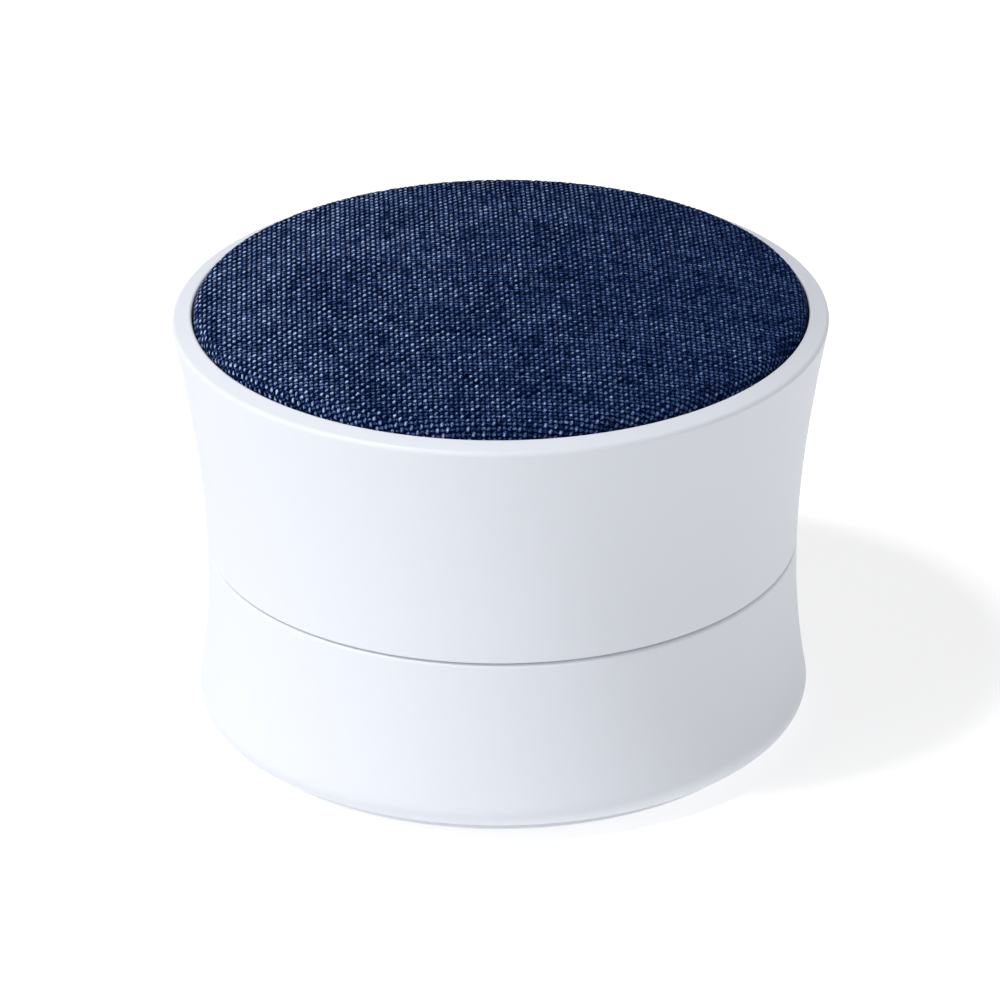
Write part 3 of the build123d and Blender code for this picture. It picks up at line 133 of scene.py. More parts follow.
class Paint:
    """A material under construction, with one way of adding any node."""

    def __init__(self, name: str) -> None:
        """Starts an empty material."""
        self.material = bpy.data.materials.new(name)
        self.material.use_nodes = True
        self.tree = self.material.node_tree
        self.tree.nodes.clear()

    def add(
        self,
        kind: str,
        settings: Optional[dict[str, Any]] = None,
        sockets: Optional[dict[Any, Any]] = None,
        out: Any = 0,
    ) -> Flow:
        """Adds a node.

        Args:
            kind: the node's type.
            settings: its properties, with a ramp's stops under "stops"; they are set first.
            sockets: a value or a Flow for each input, by name or number.
            out: the name or number of the output that is wanted.

        Returns:
            That output, or an empty Flow from a node that ends the material.
        """
        node = self.tree.nodes.new(kind)
        for name, value in (settings or {}).items():
            if name == "stops":
                self._set_stops(node.color_ramp, value)
            else:
                setattr(node, name, value)
        for name, value in (sockets or {}).items():
            if isinstance(value, Flow):
                self.tree.links.new(value.socket, node.inputs[name])
            else:
                node.inputs[name].default_value = value
        return Flow(self, node.outputs[out] if node.outputs else None)

    @staticmethod
    def _set_stops(ramp: bpy.types.ColorRamp, stops: Iterable[tuple[float, tuple]]) -> None:
        """Gives a colour ramp its stops."""
        wanted = list(stops)
        while len(ramp.elements) < len(wanted):
            ramp.elements.new(0.5)
        for element, (place, colour) in zip(ramp.elements, wanted):
            element.position = place
            element.color = (*colour, 1.0)

    def ramp(self, amount: Flow, stops: Iterable[tuple[float, tuple]]) -> Flow:
        """Turns a number into a colour through a ramp."""
        return self.add("ShaderNodeValToRGB", {"stops": list(stops)}, {0: amount})

    def blend(self, amount: Any, low: Any, high: Any) -> Flow:
        """Mixes two colours by a number."""
        return self.add(
            "ShaderNodeMix", {"data_type": "RGBA", "clamp_factor": True}, {0: amount, 6: low, 7: high}, out=2
        )

    def join(self, x: Any, y: Any, z: Any = 0.0) -> Flow:
        """A vector of three numbers."""
        return self.add("ShaderNodeCombineXYZ", None, {0: x, 1: y, 2: z})

    def places(self, stretch: tuple[float, float, float] = (1.0, 1.0, 1.0)) -> Flow:
        """The piece's own coordinates in metres, stretched along each axis."""
        at = self.add("ShaderNodeTexCoord", None, None, out="Object")
        return self.add("ShaderNodeMapping", None, {"Vector": at, "Scale": stretch})

    def grain(self, at: Flow, scale: float, detail: float = 2.0, roughness: float = 0.5) -> Flow:
        """Smooth noise between 0 and 1 about 0.5."""
        sockets = {"Vector": at, "Scale": scale, "Detail": detail, "Roughness": roughness}
        return self.add("ShaderNodeTexNoise", {"noise_dimensions": "3D"}, sockets)

    def bump(self, height: Flow, strength: float, distance: float) -> Flow:
        """A normal that follows a height."""
        sockets = {"Strength": strength, "Distance": distance, "Height": height}
        return self.add("ShaderNodeBump", None, sockets)

    def close(self, **sockets: Any) -> bpy.types.Material:
        """Ends the material in a Principled shader with these sockets, spaces written as underscores."""
        named = {name.replace("_", " "): value for name, value in sockets.items()}
        shader = self.add("ShaderNodeBsdfPrincipled", None, named)
        self.add("ShaderNodeOutputMaterial", None, {"Surface": shader})
        return self.material


class Sky(Paint):
    """The world's light under construction."""

    def __init__(self, name: str) -> None:
        """Starts an empty world."""
        self.world = bpy.data.worlds.new(name)
        self.world.use_nodes = True
        self.tree = self.world.node_tree
        self.tree.nodes.clear()

    def close(self, **sockets: Any) -> bpy.types.World:
        """Ends the world in a Background shader with these sockets."""
        light = self.add("ShaderNodeBackground", None, sockets)
        self.add("ShaderNodeOutputWorld", None, {"Surface": light})
        bpy.context.scene.world = self.world
        return self.world


def opaque(colour: tuple[float, float, float]) -> tuple[float, float, float, float]:
    """A colour with full alpha."""
    return (*colour, 1.0)


def shade(colour: tuple[float, float, float], share: float) -> tuple[float, float, float, float]:
    """A colour made lighter or darker by a share."""
    return opaque(tuple(min(1.0, part * share) for part in colour))


# ------------------------------------------------------------------ finishes
class Texture(Enum):
    """How a surface's fine relief runs."""

    SPARKED = "even, fine moulding grain"
    BRUSHED = "long scratches along the piece"
    FIBROUS = "matted fibres"
    GRAINY = "coarse grains"


@dataclass(frozen=True)
class Finish:
    """A finish of one colour with its mottling and fine relief."""

    name: str
    colour: tuple[float, float, float]
    roughness: float = 0.5
    metallic: float = 0.0
    texture: Texture = Texture.SPARKED
    grain_mm: float = 0.25
    relief: float = 0.25
    mottle: float = 0.05
    coat: float = 0.0
    cloud_mm: float = 14.0

    def stretch(self) -> tuple[float, float, float]:
        """The coordinates' stretch that gives the texture its direction."""
        return (1.0, 1.0, 0.06) if self.texture is Texture.BRUSHED else (1.0, 1.0, 1.0)

    def build(self) -> bpy.types.Material:
        """Makes the material.

        Returns:
            A material whose colour, roughness and normal vary over the surface.
        """
        paint = Paint(self.name)
        at = paint.places(self.stretch())
        detail = 5.0 if self.texture in (Texture.FIBROUS, Texture.GRAINY) else 2.0
        fine = paint.grain(at, 1.0 / (self.grain_mm * MM), detail, 0.6)
        broad = paint.grain(at, 1.0 / (self.cloud_mm * MM), 3.0, 0.5)
        patches = (broad - 0.5) * 1.6 + 0.5
        dark, light = shade(self.colour, 1 - self.mottle), shade(self.colour, 1 + self.mottle)
        colour = paint.blend(patches, dark, light)
        if self.texture in (Texture.FIBROUS, Texture.GRAINY):
            colour = paint.blend(fine.above(0.5, 0.3) * 0.6, colour, shade(self.colour, 1.5))
        rough = self.roughness + (fine - 0.5) * 0.12 + (broad - 0.5) * 0.1
        normal = paint.bump(fine, self.relief, self.grain_mm * MM * 0.4)
        return paint.close(
            Base_Color=colour,
            Roughness=rough,
            Metallic=self.metallic,
            Normal=normal,
            Coat_Weight=self.coat,
        )


@dataclass(frozen=True)
class MouldedWhite:
    """White ABS from a spark-eroded mould, with a soft, cloudy sheen."""

    name: str = "moulded_white"
    colour: tuple[float, float, float] = (0.715, 0.74, 0.80)
    roughness: float = 0.46
    grain_mm: float = 0.16
    cloud_mm: float = 22.0
    flow_mm: float = 9.0

    def build(self) -> bpy.types.Material:
        """Makes the material.

        Returns:
            White plastic with fine pitting, faint flow marks and cloudy gloss.
        """
        paint = Paint(self.name)
        at = paint.places()
        pits = paint.grain(at, 1.0 / (self.grain_mm * MM), 3.0, 0.65)
        clouds = paint.grain(at, 1.0 / (self.cloud_mm * MM), 2.0, 0.5)
        flow = paint.grain(paint.places((1.0, 1.0, 0.25)), 1.0 / (self.flow_mm * MM), 3.0, 0.55)
        colour = paint.blend(clouds, shade(self.colour, 0.985), shade(self.colour, 1.012))
        colour = paint.blend((pits - 0.5) * 0.5 + 0.3, colour, shade(self.colour, 0.965))
        rough = self.roughness + (pits - 0.5) * 0.18 + (clouds - 0.5) * 0.08 + (flow - 0.5) * 0.05
        normal = paint.bump(pits, 0.16, self.grain_mm * MM * 0.3)
        return paint.close(Base_Color=colour, Roughness=rough, Normal=normal, Specular_IOR_Level=0.45)


@dataclass(frozen=True)
class BoardLacquer:
    """Solder mask over copper tracks, with tinned lands."""

    name: str = "board_lacquer"
    colour: tuple[float, float, float] = (0.012, 0.11, 0.045)
    tin: tuple[float, float, float] = (0.55, 0.55, 0.5)
    track_mm: float = 1.9
    land_spacing_mm: float = 3.1
    track_height_mm: float = 0.05

    def build(self) -> bpy.types.Material:
        """Makes the material.

        Returns:
            Green lacquer with raised tracks in two directions and small round lands.
        """
        paint = Paint(self.name)
        at = paint.places()
        density = 1.0 / (self.track_mm * 4 * MM)
        lanes = paint.add(
            "ShaderNodeTexBrick",
            {"offset": 0.5},
            {"Vector": at, "Scale": density, "Mortar Size": 0.035, "Mortar Smooth": 0.2},
            out="Fac",
        )
        spacing = 1.0 / (self.land_spacing_mm * MM)
        dots = paint.add(
            "ShaderNodeTexVoronoi", {"feature": "F1"}, {"Vector": at, "Scale": spacing}, out="Distance"
        )
        lands = 1.0 - dots.above(0.12, 0.03)
        colour = paint.blend(lanes, opaque(self.colour), shade(self.colour, 2.1))
        colour = paint.blend(lands, colour, opaque(self.tin))
        normal = paint.bump(lanes + lands, 0.35, self.track_height_mm * MM)
        rough, metal = 0.34 - lands * 0.1, lands * 0.8
        return paint.close(Base_Color=colour, Roughness=rough, Metallic=metal, Normal=normal)


@dataclass(frozen=True)
class MelangeWeave:
    """Plain-woven melange polyester: light warp floats among dark weft, read from the cloth's own map."""

    name: str = "melange_weave"
    tones: tuple[tuple[float, tuple[float, float, float]], ...] = (
        (0.0, (0.0, 0.0006, 0.004)),
        (0.16, (0.0008, 0.0045, 0.024)),
        (0.36, (0.0145, 0.033, 0.104)),
        (0.56, (0.052, 0.09, 0.221)),
        (0.78, (0.15, 0.215, 0.405)),
        (1.0, (0.45, 0.56, 0.81)),
    )
    warp_size: tuple[float, float] = (0.47, 0.68)
    weft_size: tuple[float, float] = (0.42, 0.66)
    warp_lean: float = 0.28
    warp_streak: float = 6.0
    weft_streak: float = 9.0
    patch: float = 17.0
    # lowest level of the painted light: the painted shade at the weave's right and front
    deepest_painted_shade: float = 0.66
    relief_mm: float = 0.07

    @staticmethod
    def lens(across: Flow, along: Flow, half_width: float, half_length: float) -> Flow:
        """The domed outline of one float, 1 at its middle and 0 at its edge."""
        a, b = across / half_width, along / half_length
        return (1.0 - a * a - b * b).math("MAXIMUM", 0.0)

    @staticmethod
    def tone(paint: Paint, yarn: Flow, along: Flow, cell: Flow, seed: float, streak: float) -> Flow:
        """How light a float is: the melange streak of its yarn and the chance of its own fibres.

        Args:
            paint: the material.
            yarn: the yarn's number.
            along: place along the yarn, in crossings.
            cell: the crossing's own chance, from 0 to 1.
            seed: tells the warp from the weft.
            streak: how many crossings a streak lasts.

        Returns:
            A number about 0.5.
        """
        slub = paint.grain(paint.join(yarn * 3.7, along * (1.0 / streak), seed), 1.0, 3.0, 0.6)
        return 0.5 + (slub - 0.5) * 2.6 + (cell - 0.5) * 0.55

    def build(self, warps: float, wefts: float) -> bpy.types.Material:
        """Makes the material.

        Args:
            warps: how many warp yarns the map's whole width holds.
            wefts: how many weft yarns the map's whole height holds.

        Returns:
            The cloth's material.
        """
        paint = Paint(self.name)
        uv = paint.add("ShaderNodeUVMap", {"uv_map": CLOTH_MAP})
        x = paint.add("ShaderNodeSeparateXYZ", None, {0: uv}, out=0) * warps
        y = paint.add("ShaderNodeSeparateXYZ", None, {0: uv}, out=1) * wefts
        column, row = (x + 0.5).math("FLOOR"), (y + 0.5).math("FLOOR")
        dx, dy = x - column, y - row
        on_top = (column + row).math("FLOORED_MODULO", 2.0)
        crossing = paint.join(column, row)
        cell = paint.add("ShaderNodeTexWhiteNoise", {"noise_dimensions": "2D"}, {"Vector": crossing})
        slow = paint.grain(paint.join(x, y), 1.0 / self.patch, 2.0, 0.5)

        # Each float's colour is lightest at its crown and fades to nothing at its edge, so the gaps between
        # floats take the ramp's near-black: painted shade between the yarns; the crowns are partly the yarn's
        # own colour, partly painted highlight
        warp = self.lens(dx - dy * self.warp_lean, dy, *self.warp_size) * on_top
        weft = self.lens(dy, dx, *self.weft_size) * (1.0 - on_top)
        twist = paint.grain(paint.join(x * 5.0 - y * 1.6, y * 2.6, 0.0), 1.0, 2.0, 0.65)
        laid = paint.grain(paint.join(x * 2.2, y * 6.0 + x * 1.5, 5.0), 1.0, 2.0, 0.65)
        # Painted highlight: bright glint spots painted into the floats' colour; the same spots are also a
        # little glossier
        painted_glint_spots = paint.grain(paint.join(x * 4.6, y * 5.4, 9.0), 1.0, 1.0, 0.5).above(0.62, 0.2)

        # Painted light: the warp floats are painted lighter at the left and back and darker towards the right
        # and front, held above a set floor; slow random patches also vary this
        painted_light_ramp = (x - y * 0.3) * (1.0 / warps) - 0.35
        painted_light_and_patches = (1.02 - painted_light_ramp * 0.9 + (slow - 0.5) * 0.5).math("MAXIMUM", self.deepest_painted_shade)
        warp_tone = self.tone(paint, column, y, cell, 1.0, self.warp_streak)
        weft_tone = self.tone(paint, row, x, cell, 4.0, self.weft_streak) + (slow - 0.5) * 1.0
        warp_light = warp * (warp_tone * 0.6 + 0.34 + (twist - 0.5) * 1.6) * painted_light_and_patches
        weft_light = weft * (weft_tone * 0.55 + 0.08 + (laid - 0.5) * 1.7)
        floats = warp_light.math("MAXIMUM", weft_light)
        # Painted light on the right side: where the painted left light fades, the whole weave is painted a
        # little lighter
        floats_and_painted_light = floats + (1.0 - painted_light_and_patches).math("MAXIMUM", 0.0) * 0.2
        body = floats_and_painted_light + (twist - 0.5) * 0.6 + (laid - 0.5) * 0.6
        # adds the painted glint highlight, strongest on the warp crowns
        light = body + painted_glint_spots * (0.13 + warp * warp * 0.28) * painted_light_and_patches
        colour = paint.ramp(light, self.tones)

        height = warp + weft * 0.8 + (twist - 0.5) * 0.4
        normal = paint.bump(height, 0.7, self.relief_mm * MM)
        return paint.close(
            Base_Color=colour,
            Roughness=0.58 - painted_glint_spots * 0.15 + (twist - 0.5) * 0.2,
            Normal=normal,
            Specular_IOR_Level=0.0,
        )


# ------------------------------------------------------------------ mesh helpers
def new_piece(name: str, shape: bmesh.types.BMesh, smooth_deg: float = 32.0) -> bpy.types.Object:
    """Makes an object from a finished bmesh.

    Args:
        name: the piece's name.
        shape: the bmesh, which is used up.
        smooth_deg: edges sharper than this many degrees stay sharp.

    Returns:
        The object, at the origin.
    """
    mesh = bpy.data.meshes.new(name)
    shape.to_mesh(mesh)
    shape.free()
    mesh.shade_smooth()
    mesh.set_sharp_from_angle(angle=math.radians(smooth_deg))
    piece = bpy.data.objects.new(name, mesh)
    bpy.context.scene.collection.objects.link(piece)
    return piece


def lathe(outline: Iterable[tuple[float, float]], steps: int, closed: bool) -> bmesh.types.BMesh:
    """Spins an outline of (radius, height) points, in metres, round the upright axis.

    Args:
        outline: the points, in order.
        steps: how many steps the full turn has.
        closed: whether the last point joins the first.

    Returns:
        The turned surface, with its poles merged and its faces outwards.
    """
    shape = bmesh.new()
    verts = [shape.verts.new((radius, 0.0, height)) for radius, height in outline]
    edges = [shape.edges.new(pair) for pair in zip(verts, verts[1:])]
    if closed:
        edges.append(shape.edges.new((verts[-1], verts[0])))
    bmesh.ops.spin(
        shape, geom=verts + edges, cent=(0, 0, 0), axis=(0, 0, 1), angle=math.tau, steps=steps, use_merge=True
    )
    bmesh.ops.remove_doubles(shape, verts=shape.verts, dist=MERGE_DISTANCE)
    bmesh.ops.recalc_face_normals(shape, faces=shape.faces)
    return shape


def dress(piece: bpy.types.Object, material: bpy.types.Material) -> None:
    """Gives a piece or a CAD node one material."""
    slots = piece.data.materials
    if slots:
        for index in range(len(slots)):
            slots[index] = material
    else:
        slots.append(material)


def settle(piece: bpy.types.Object, body: str, node: str, material: bpy.types.Material) -> None:
    """Dresses a piece, puts it on its body and lets it stand for its CAD node."""
    dress(piece, material)
    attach(piece, body)
    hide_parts(node)
    LOG.info("%s stands for %s, %d faces", piece.name, node, len(piece.data.polygons))


# ------------------------------------------------------------------ the cloth
@dataclass
class GrilleCloth:
    """The woven cloth, wrapped over the domed grille, down its side and in under its hem."""

    node: str = "grille_cloth"
    warp_pitch: float = 0.575 * MM
    weft_pitch: float = 0.655 * MM
    skew: float = 0.026
    crown_rise: float = 3.5 * MM
    edge_round: float = 1.7 * MM
    hem: float = 1.6 * MM
    sink: float = 0.13 * MM
    float_height: float = 0.06 * MM
    wander: float = 0.05 * MM
    wander_length: float = 4.0 * MM
    float_size: tuple[float, float] = (0.5, 0.85)
    verts_per_yarn: int = 2

    def __post_init__(self) -> None:
        """Takes the cloth's outer sizes from the frame and works out the crown's curve."""
        low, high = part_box(self.node)
        self.radius = high.x - self.sink
        self.top = high.z - self.sink
        self.bottom = low.z + self.sink
        rise = self.crown_rise
        self.ball = (self.radius**2 + rise**2) / (2 * rise)
        self.ball_z = self.top - self.ball
        inner = self.radius - self.edge_round
        self.edge_z = self.ball_z + math.sqrt((self.ball - self.edge_round) ** 2 - inner**2)
        self.edge_angle = math.asin(inner / (self.ball - self.edge_round))
        self.crown_length = self.ball * self.edge_angle
        self.round_length = self.edge_round * (math.pi / 2 - self.edge_angle)
        self.side_length = self.edge_z - self.bottom
        self.reach = self.crown_length + self.round_length + self.side_length + self.hem

    def section(self, s: float) -> tuple[float, float, float, float]:
        """The cloth's line from its crown to its hem.

        Args:
            s: distance along the cloth from its middle, in metres.

        Returns:
            Radius, height, and the outward normal's radial and upright parts.
        """
        if s <= self.crown_length:
            angle = s / self.ball
            out, up = math.sin(angle), math.cos(angle)
            return self.ball * out, self.ball_z + self.ball * up, out, up
        s -= self.crown_length
        if s <= self.round_length:
            angle = self.edge_angle + s / self.edge_round
            out, up = math.sin(angle), math.cos(angle)
            centre = self.radius - self.edge_round
            return centre + self.edge_round * out, self.edge_z + self.edge_round * up, out, up
        s -= self.round_length
        if s <= self.side_length:
            return self.radius, self.edge_z - s, 1.0, 0.0
        return self.radius - (s - self.side_length), self.bottom, 0.0, -1.0

    def yarn_height(self, warp: float, weft: float) -> float:
        """How far the weave stands out where two yarns cross.

        Args:
            warp: place across the warp, in yarns.
            weft: place across the weft, in yarns.

        Returns:
            From -1 in a gap to 1 on a light float's crown.
        """
        column, row = round(warp), round(weft)
        dx, dy = warp - column, weft - row
        if (column + row) % 2:
            across, along, crown = dx, dy, 1.0
        else:
            across, along, crown = dy, dx, 0.55
        wide, long = self.float_size
        dome = max(0.0, 1.0 - (across / wide) ** 2 - (along / long) ** 2)
        return -1.0 + (1.0 + crown) * math.sqrt(dome)

    def build(self) -> bpy.types.Object:
        """Weaves the cloth flat and wraps it over the grille.

        Returns:
            The cloth, dressed and riding.
        """
        warps = 4 * math.ceil(self.reach / self.warp_pitch / 2)
        wefts = 4 * math.ceil(self.reach / self.weft_pitch / 2)
        shape = bmesh.new()
        across, down = warps * self.verts_per_yarn, wefts * self.verts_per_yarn
        bmesh.ops.create_grid(shape, x_segments=across, y_segments=down, size=0.5, calc_uvs=False)
        layer = shape.loops.layers.uv.new(CLOTH_MAP)
        counts = {vert: (vert.co.x * warps, vert.co.y * wefts) for vert in shape.verts}
        outside = []
        for vert, (warp, weft) in counts.items():
            flat_x = (warp * self.warp_pitch - self.skew * weft * self.weft_pitch) / (1 - self.skew**2)
            flat_y = (weft * self.weft_pitch - self.skew * warp * self.warp_pitch) / (1 - self.skew**2)
            slow = Vector((flat_x, flat_y, 0.0)) / self.wander_length
            flat_x += self.wander * noise.noise(slow + Vector((0, 0, 7.3)))
            flat_y += self.wander * noise.noise(slow + Vector((0, 0, 1.9)))
            distance = math.hypot(flat_x, flat_y)
            if distance > self.reach:
                outside.append(vert)
                continue
            radius, height, out, up = self.section(distance)
            lift = self.float_height * self.yarn_height(warp, weft)
            turn_x, turn_y = (flat_x / distance, flat_y / distance) if distance > AT_CENTRE else (1.0, 0.0)
            reach = radius + out * lift
            vert.co = (reach * turn_x, reach * turn_y, height + up * lift)
        for face in shape.faces:
            for loop in face.loops:
                warp, weft = counts[loop.vert]
                loop[layer].uv = (warp / warps + 0.5, weft / wefts + 0.5)
        bmesh.ops.delete(shape, geom=outside, context="VERTS")
        piece = new_piece("woven_cloth", shape, smooth_deg=180.0)
        settle(piece, ENCLOSURE, self.node, MelangeWeave().build(warps, wefts))
        2 * self.reach
        2 * self.reach
        math.pi * self.reach**2
        return piece


# ------------------------------------------------------------------ the driver's moving edge
@dataclass
class DriverEdge:
    """The rubber surround and the corrugated spider, which stretch as the cone moves."""

    steps: int = 144
    surround_wall: float = 0.3 * MM
    flange: float = 1.3 * MM
    lip: float = 1.2 * MM
    arc_steps: int = 18
    arc_ends: tuple[float, float] = (0.06, 0.94)
    spider_wall: float = 0.28 * MM
    spider_bore: float = 6.62 * MM
    spider_hub: float = 1.0 * MM
    waved_to: float = 12.8 * MM
    waves: int = 3
    samples: int = 60
    surround: str = "driver_surround"
    spider: str = "driver_spider"

    def follow(self, piece: bpy.types.Object, inner: float, outer: float) -> None:
        """Lets a ring follow the cone at its inner edge and the basket at its outer edge.

        Args:
            piece: the ring.
            inner: radius that moves with the cone.
            outer: radius that stays with the basket.
        """
        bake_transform(piece, ENCLOSURE, CONE_BODY, start=(outer, 0, 0), end=(inner, 0, 0))
        for vert, weight in zip(piece.data.vertices, piece.data.attributes["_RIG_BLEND"].data):
            share = min(1.0, max(0.0, (outer - math.hypot(vert.co.x, vert.co.y)) / (outer - inner)))
            weight.value = share * share * (3 - 2 * share)

    def finish_ring(self, piece: bpy.types.Object, node: str, material: bpy.types.Material) -> None:
        """Dresses a ring and lets it stand for its CAD node."""
        dress(piece, material)
        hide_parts(node)
        LOG.info("%s stands for %s", piece.name, node)

    def build_surround(self) -> bpy.types.Object:
        """Makes the half-roll edge with its two flanges."""
        low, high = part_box(self.surround)
        outer, foot, wall = high.x, low.z, self.surround_wall
        roll_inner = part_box("driver_cone")[1].x
        roll_outer = outer - self.flange
        middle, roll = (roll_inner + roll_outer) / 2, (roll_outer - roll_inner) / 2
        first, last = self.arc_ends
        hops = range(self.arc_steps + 1)
        over = [
            (middle + roll * math.cos(a), foot + roll * math.sin(a))
            for a in (math.pi * (first + (last - first) * k / self.arc_steps) for k in hops)
        ]
        under = [
            (middle + (roll - wall) * math.cos(a), foot + (roll - wall) * math.sin(a))
            for a in (math.pi * last * (1 - k / self.arc_steps) for k in hops)
        ]
        outline = [(outer, foot), (outer, foot + wall)] + over
        outline += [(roll_inner - self.lip, foot + wall), (roll_inner - self.lip, foot), *under]
        piece = new_piece("surround_roll", lathe(outline, self.steps, closed=True), smooth_deg=40.0)
        self.follow(piece, roll_inner, roll_outer)
        finish = Finish("butyl_rubber", (0.012, 0.012, 0.014), 0.42, grain_mm=0.3, relief=0.15)
        self.finish_ring(piece, self.surround, finish.build())
        return piece

    def build_spider(self) -> bpy.types.Object:
        """Makes the corrugated cloth disc with round waves."""
        low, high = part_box(self.spider)
        inner, outer = self.spider_bore, high.x
        foot, wall = low.z, self.spider_wall
        start, end = inner + self.spider_hub, self.waved_to
        crest = (high.z - low.z - wall) / 2

        def height(radius: float) -> float:
            """The waved line's height over its foot."""
            if radius <= start or radius >= end:
                return 0.0
            return crest * (1 - math.cos(math.tau * self.waves * (radius - start) / (end - start)))

        radii = [inner + (outer - inner) * k / self.samples for k in range(self.samples + 1)]
        lower = [(radius, foot + height(radius)) for radius in radii]
        upper = [(radius, foot + wall + height(radius)) for radius in reversed(radii)]
        piece = new_piece("spider_disc", lathe(lower + upper, self.steps, closed=True), smooth_deg=50.0)
        self.follow(piece, start, end)
        finish = Finish(
            "resined_cotton",
            (0.42, 0.27, 0.075),
            0.7,
            texture=Texture.FIBROUS,
            grain_mm=0.4,
            relief=0.5,
            mottle=0.12,
        )
        self.finish_ring(piece, self.spider, finish.build())
        return piece


# ------------------------------------------------------------------ finishes of the CAD pieces
def brushed(name: str, colour: tuple[float, float, float], roughness: float, **rest: float) -> Finish:
    """A bare metal finish with long scratches."""
    return Finish(name, colour, roughness, metallic=1.0, texture=Texture.BRUSHED, **rest)


FINISHES: dict[str, Any] = {
    "white_shell": MouldedWhite(),
    "white_base": MouldedWhite("moulded_base_white", (0.69, 0.715, 0.775), roughness=0.52, grain_mm=0.22),
    "foot_rubber": Finish("foot_silicone", (0.42, 0.43, 0.45), 0.62, grain_mm=0.5, relief=0.3),
    "black_plastic": Finish("black_abs", (0.014, 0.014, 0.016), 0.5, grain_mm=0.3),
    "basket_steel": Finish(
        "powder_coat", (0.018, 0.018, 0.02), 0.45, metallic=0.2, grain_mm=0.35, relief=0.5
    ),
    "zinc_steel": brushed("zinc_plate", (0.58, 0.6, 0.64), 0.3, grain_mm=0.3, relief=0.12, mottle=0.1),
    "ferrite": Finish(
        "ferrite", (0.035, 0.034, 0.036), 0.6, texture=Texture.GRAINY, grain_mm=0.3, relief=0.5
    ),
    "kapton": Finish("polyimide", (0.42, 0.15, 0.02), 0.25, grain_mm=0.6, relief=0.05, coat=0.3),
    "copper": brushed("enamelled_copper", (0.62, 0.2, 0.07), 0.28, grain_mm=0.12, relief=0.5, mottle=0.1),
    "paper_cone": Finish(
        "pressed_paper", (0.02, 0.02, 0.02), 0.85, texture=Texture.FIBROUS, grain_mm=0.5, relief=0.6
    ),
    "card": Finish(
        "pressed_card", (0.045, 0.043, 0.04), 0.9, texture=Texture.FIBROUS, grain_mm=0.4, relief=0.5
    ),
    "surround_rubber": Finish("boot_rubber", (0.02, 0.02, 0.022), 0.6, grain_mm=0.3),
    "board_green": BoardLacquer(),
    "chip_black": Finish("epoxy_black", (0.012, 0.012, 0.013), 0.48, texture=Texture.GRAINY, grain_mm=0.15),
    "tinned": brushed("tinned_metal", (0.7, 0.7, 0.7), 0.22, grain_mm=0.25, relief=0.1, mottle=0.06),
    "cell_foil": Finish(
        "laminated_foil", (0.62, 0.63, 0.66), 0.36, metallic=0.9, grain_mm=1.6, relief=0.3, mottle=0.08
    ),
    "foam": Finish(
        "black_foam", (0.03, 0.03, 0.032), 0.95, texture=Texture.GRAINY, grain_mm=0.5, relief=0.9
    ),
    "nylon": Finish("natural_nylon", (0.72, 0.69, 0.6), 0.42, grain_mm=0.4, relief=0.1),
    "red_wire": Finish("red_pvc", (0.45, 0.012, 0.01), 0.38, grain_mm=0.6, relief=0.08),
    "black_wire": Finish("black_pvc", (0.012, 0.012, 0.012), 0.38, grain_mm=0.6, relief=0.08),
    "clear_pipe": Finish(
        "clear_polycarbonate", (0.72, 0.76, 0.8), 0.2, grain_mm=0.8, relief=0.04, coat=0.4
    ),
    "gold": brushed("gold_flash", (0.75, 0.48, 0.15), 0.26, grain_mm=0.2, relief=0.1),
}


def dress_frame() -> None:
    """Gives every CAD node that still shows the finish of its material slot."""
    made: dict[str, bpy.types.Material] = {}
    for node, piece in frame["nodes"].items():
        if piece.hide_render:
            continue
        slot = SLOT_OF[node]
        if slot not in made:
            made[slot] = FINISHES[slot].build()
        dress(piece, made[slot])
    LOG.info("%d finishes on the CAD pieces", len(made))


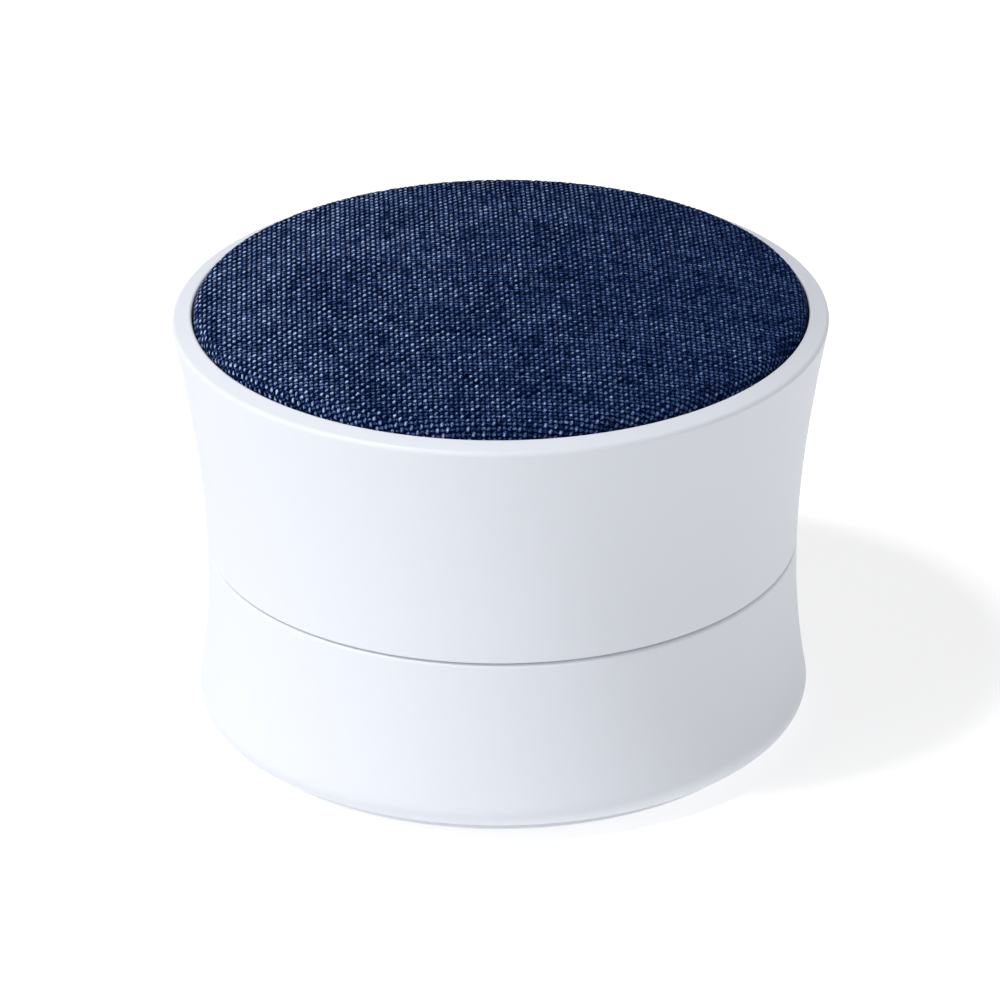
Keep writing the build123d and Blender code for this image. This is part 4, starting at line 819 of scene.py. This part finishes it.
# ------------------------------------------------------------------ studio
@dataclass
class Studio:
    """The camera, the lights and the pale floor."""

    distance: float = 0.9
    elevation_deg: float = 27.17
    lean_deg: float = -0.42
    lens: float = 277.3
    aim: tuple[float, float, float] = (-0.00022, 0.0, 0.02623)
    floor_size: float = 6.0
    floor_drop: float = 0.00002
    floor_glow: float = 0.67
    floor_greys: tuple[float, float] = (0.45, 0.47)
    floor_cloud: float = 60.0 * MM
    sky: float = 0.41
    sky_slope: float = 0.08
    key_from: tuple[float, float, float] = (-0.42, -0.24, 0.92)
    key_distance: float = 1.6
    key_size: float = 0.2
    key_power: float = 14.5
    side_place: tuple[float, float, float] = (-1.12, -0.78, 0.64)
    side_size: float = 0.8
    side_power: float = 6.1
    fill_place: tuple[float, float, float] = (1.1, 0.4, 0.3)
    fill_size: float = 0.5
    fill_power: float = 0.9
    lit_point: tuple[float, float, float] = (0.0, 0.0, 0.025)

    def build_camera(self) -> bpy.types.Object:
        """Makes the camera in front of the loudspeaker, looking down on it."""
        data = bpy.data.cameras.new("studio_camera")
        data.lens = self.lens
        data.sensor_width = 36.0
        data.clip_start, data.clip_end = 0.01, 20.0
        camera = bpy.data.objects.new("studio_camera", data)
        bpy.context.scene.collection.objects.link(camera)
        rise = math.radians(self.elevation_deg)
        camera.location = (0.0, -self.distance * math.cos(rise), self.distance * math.sin(rise))
        camera.rotation_mode = "QUATERNION"
        facing = (Vector(self.aim) - camera.location).to_track_quat("-Z", "Y")
        camera.rotation_quaternion = facing @ Quaternion((0, 0, 1), math.radians(self.lean_deg))
        bpy.context.scene.camera = camera
        return camera

    def build_floor(self) -> bpy.types.Object:
        """Makes the pale floor."""
        shape = bmesh.new()
        bmesh.ops.create_grid(shape, x_segments=2, y_segments=2, size=self.floor_size / 2)
        bmesh.ops.translate(shape, verts=shape.verts, vec=(0.0, 0.0, -self.floor_drop))
        floor = new_piece("studio_floor", shape)
        paint = Paint("studio_floor_white")
        veil = paint.grain(paint.places(), 1.0 / self.floor_cloud, 2.0, 0.5)
        low, high = (opaque((grey, grey, grey)) for grey in self.floor_greys)
        dress(
            floor,
            paint.close(
                Base_Color=paint.blend(veil, low, high),
                Roughness=0.95,
                Specular_IOR_Level=0.0,
                Emission_Color=opaque((1.0, 1.0, 1.0)),
                Emission_Strength=self.floor_glow,
            ),
        )
        return floor

    def add_light(self, name: str, place: Vector, size: float, power: float) -> None:
        """Makes one square soft light that faces the loudspeaker."""
        data = bpy.data.lights.new(name, "AREA")
        data.shape = "SQUARE"
        data.size = size
        data.energy = power
        light = bpy.data.objects.new(name, data)
        bpy.context.scene.collection.objects.link(light)
        light.location = place
        light.rotation_mode = "QUATERNION"
        light.rotation_quaternion = (Vector(self.lit_point) - place).to_track_quat("-Z", "Y")

    def build_lights(self) -> None:
        """Makes the key light, the soft side light at the left and a weak fill at the back right."""
        key_place = Vector(self.key_from).normalized() * self.key_distance
        self.add_light("key_light", key_place, self.key_size, self.key_power)
        self.add_light("side_light", Vector(self.side_place), self.side_size, self.side_power)
        self.add_light("fill_light", Vector(self.fill_place), self.fill_size, self.fill_power)
        bpy.context.scene.view_settings.view_transform = "Standard"

    def build_sky(self) -> None:
        """Makes the room's even light, stronger from the left than from the right."""
        sky = Sky("studio_sky")
        toward = sky.add("ShaderNodeTexCoord", None, None, out="Generated")
        leftward = sky.add(
            "ShaderNodeVectorMath",
            {"operation": "DOT_PRODUCT"},
            {0: toward, 1: (-1.0, 0.0, 0.0)},
            out="Value",
        )
        sky.close(Color=opaque((0.98, 0.99, 1.0)), Strength=(1.0 + leftward * self.sky_slope) * self.sky)

    def build(self) -> None:
        """Sets up the whole studio."""
        self.build_camera()
        self.build_floor()
        self.build_sky()
        self.build_lights()


def main() -> None:
    """Builds the studio, the cloth and the driver's edge, and dresses the rest."""
    logging.basicConfig(level=logging.INFO, format="%(message)s")
    Studio().build()
    GrilleCloth().build()
    edge = DriverEdge()
    edge.build_surround()
    edge.build_spider()
    dress_frame()


if __name__ == "__main__":
    main()
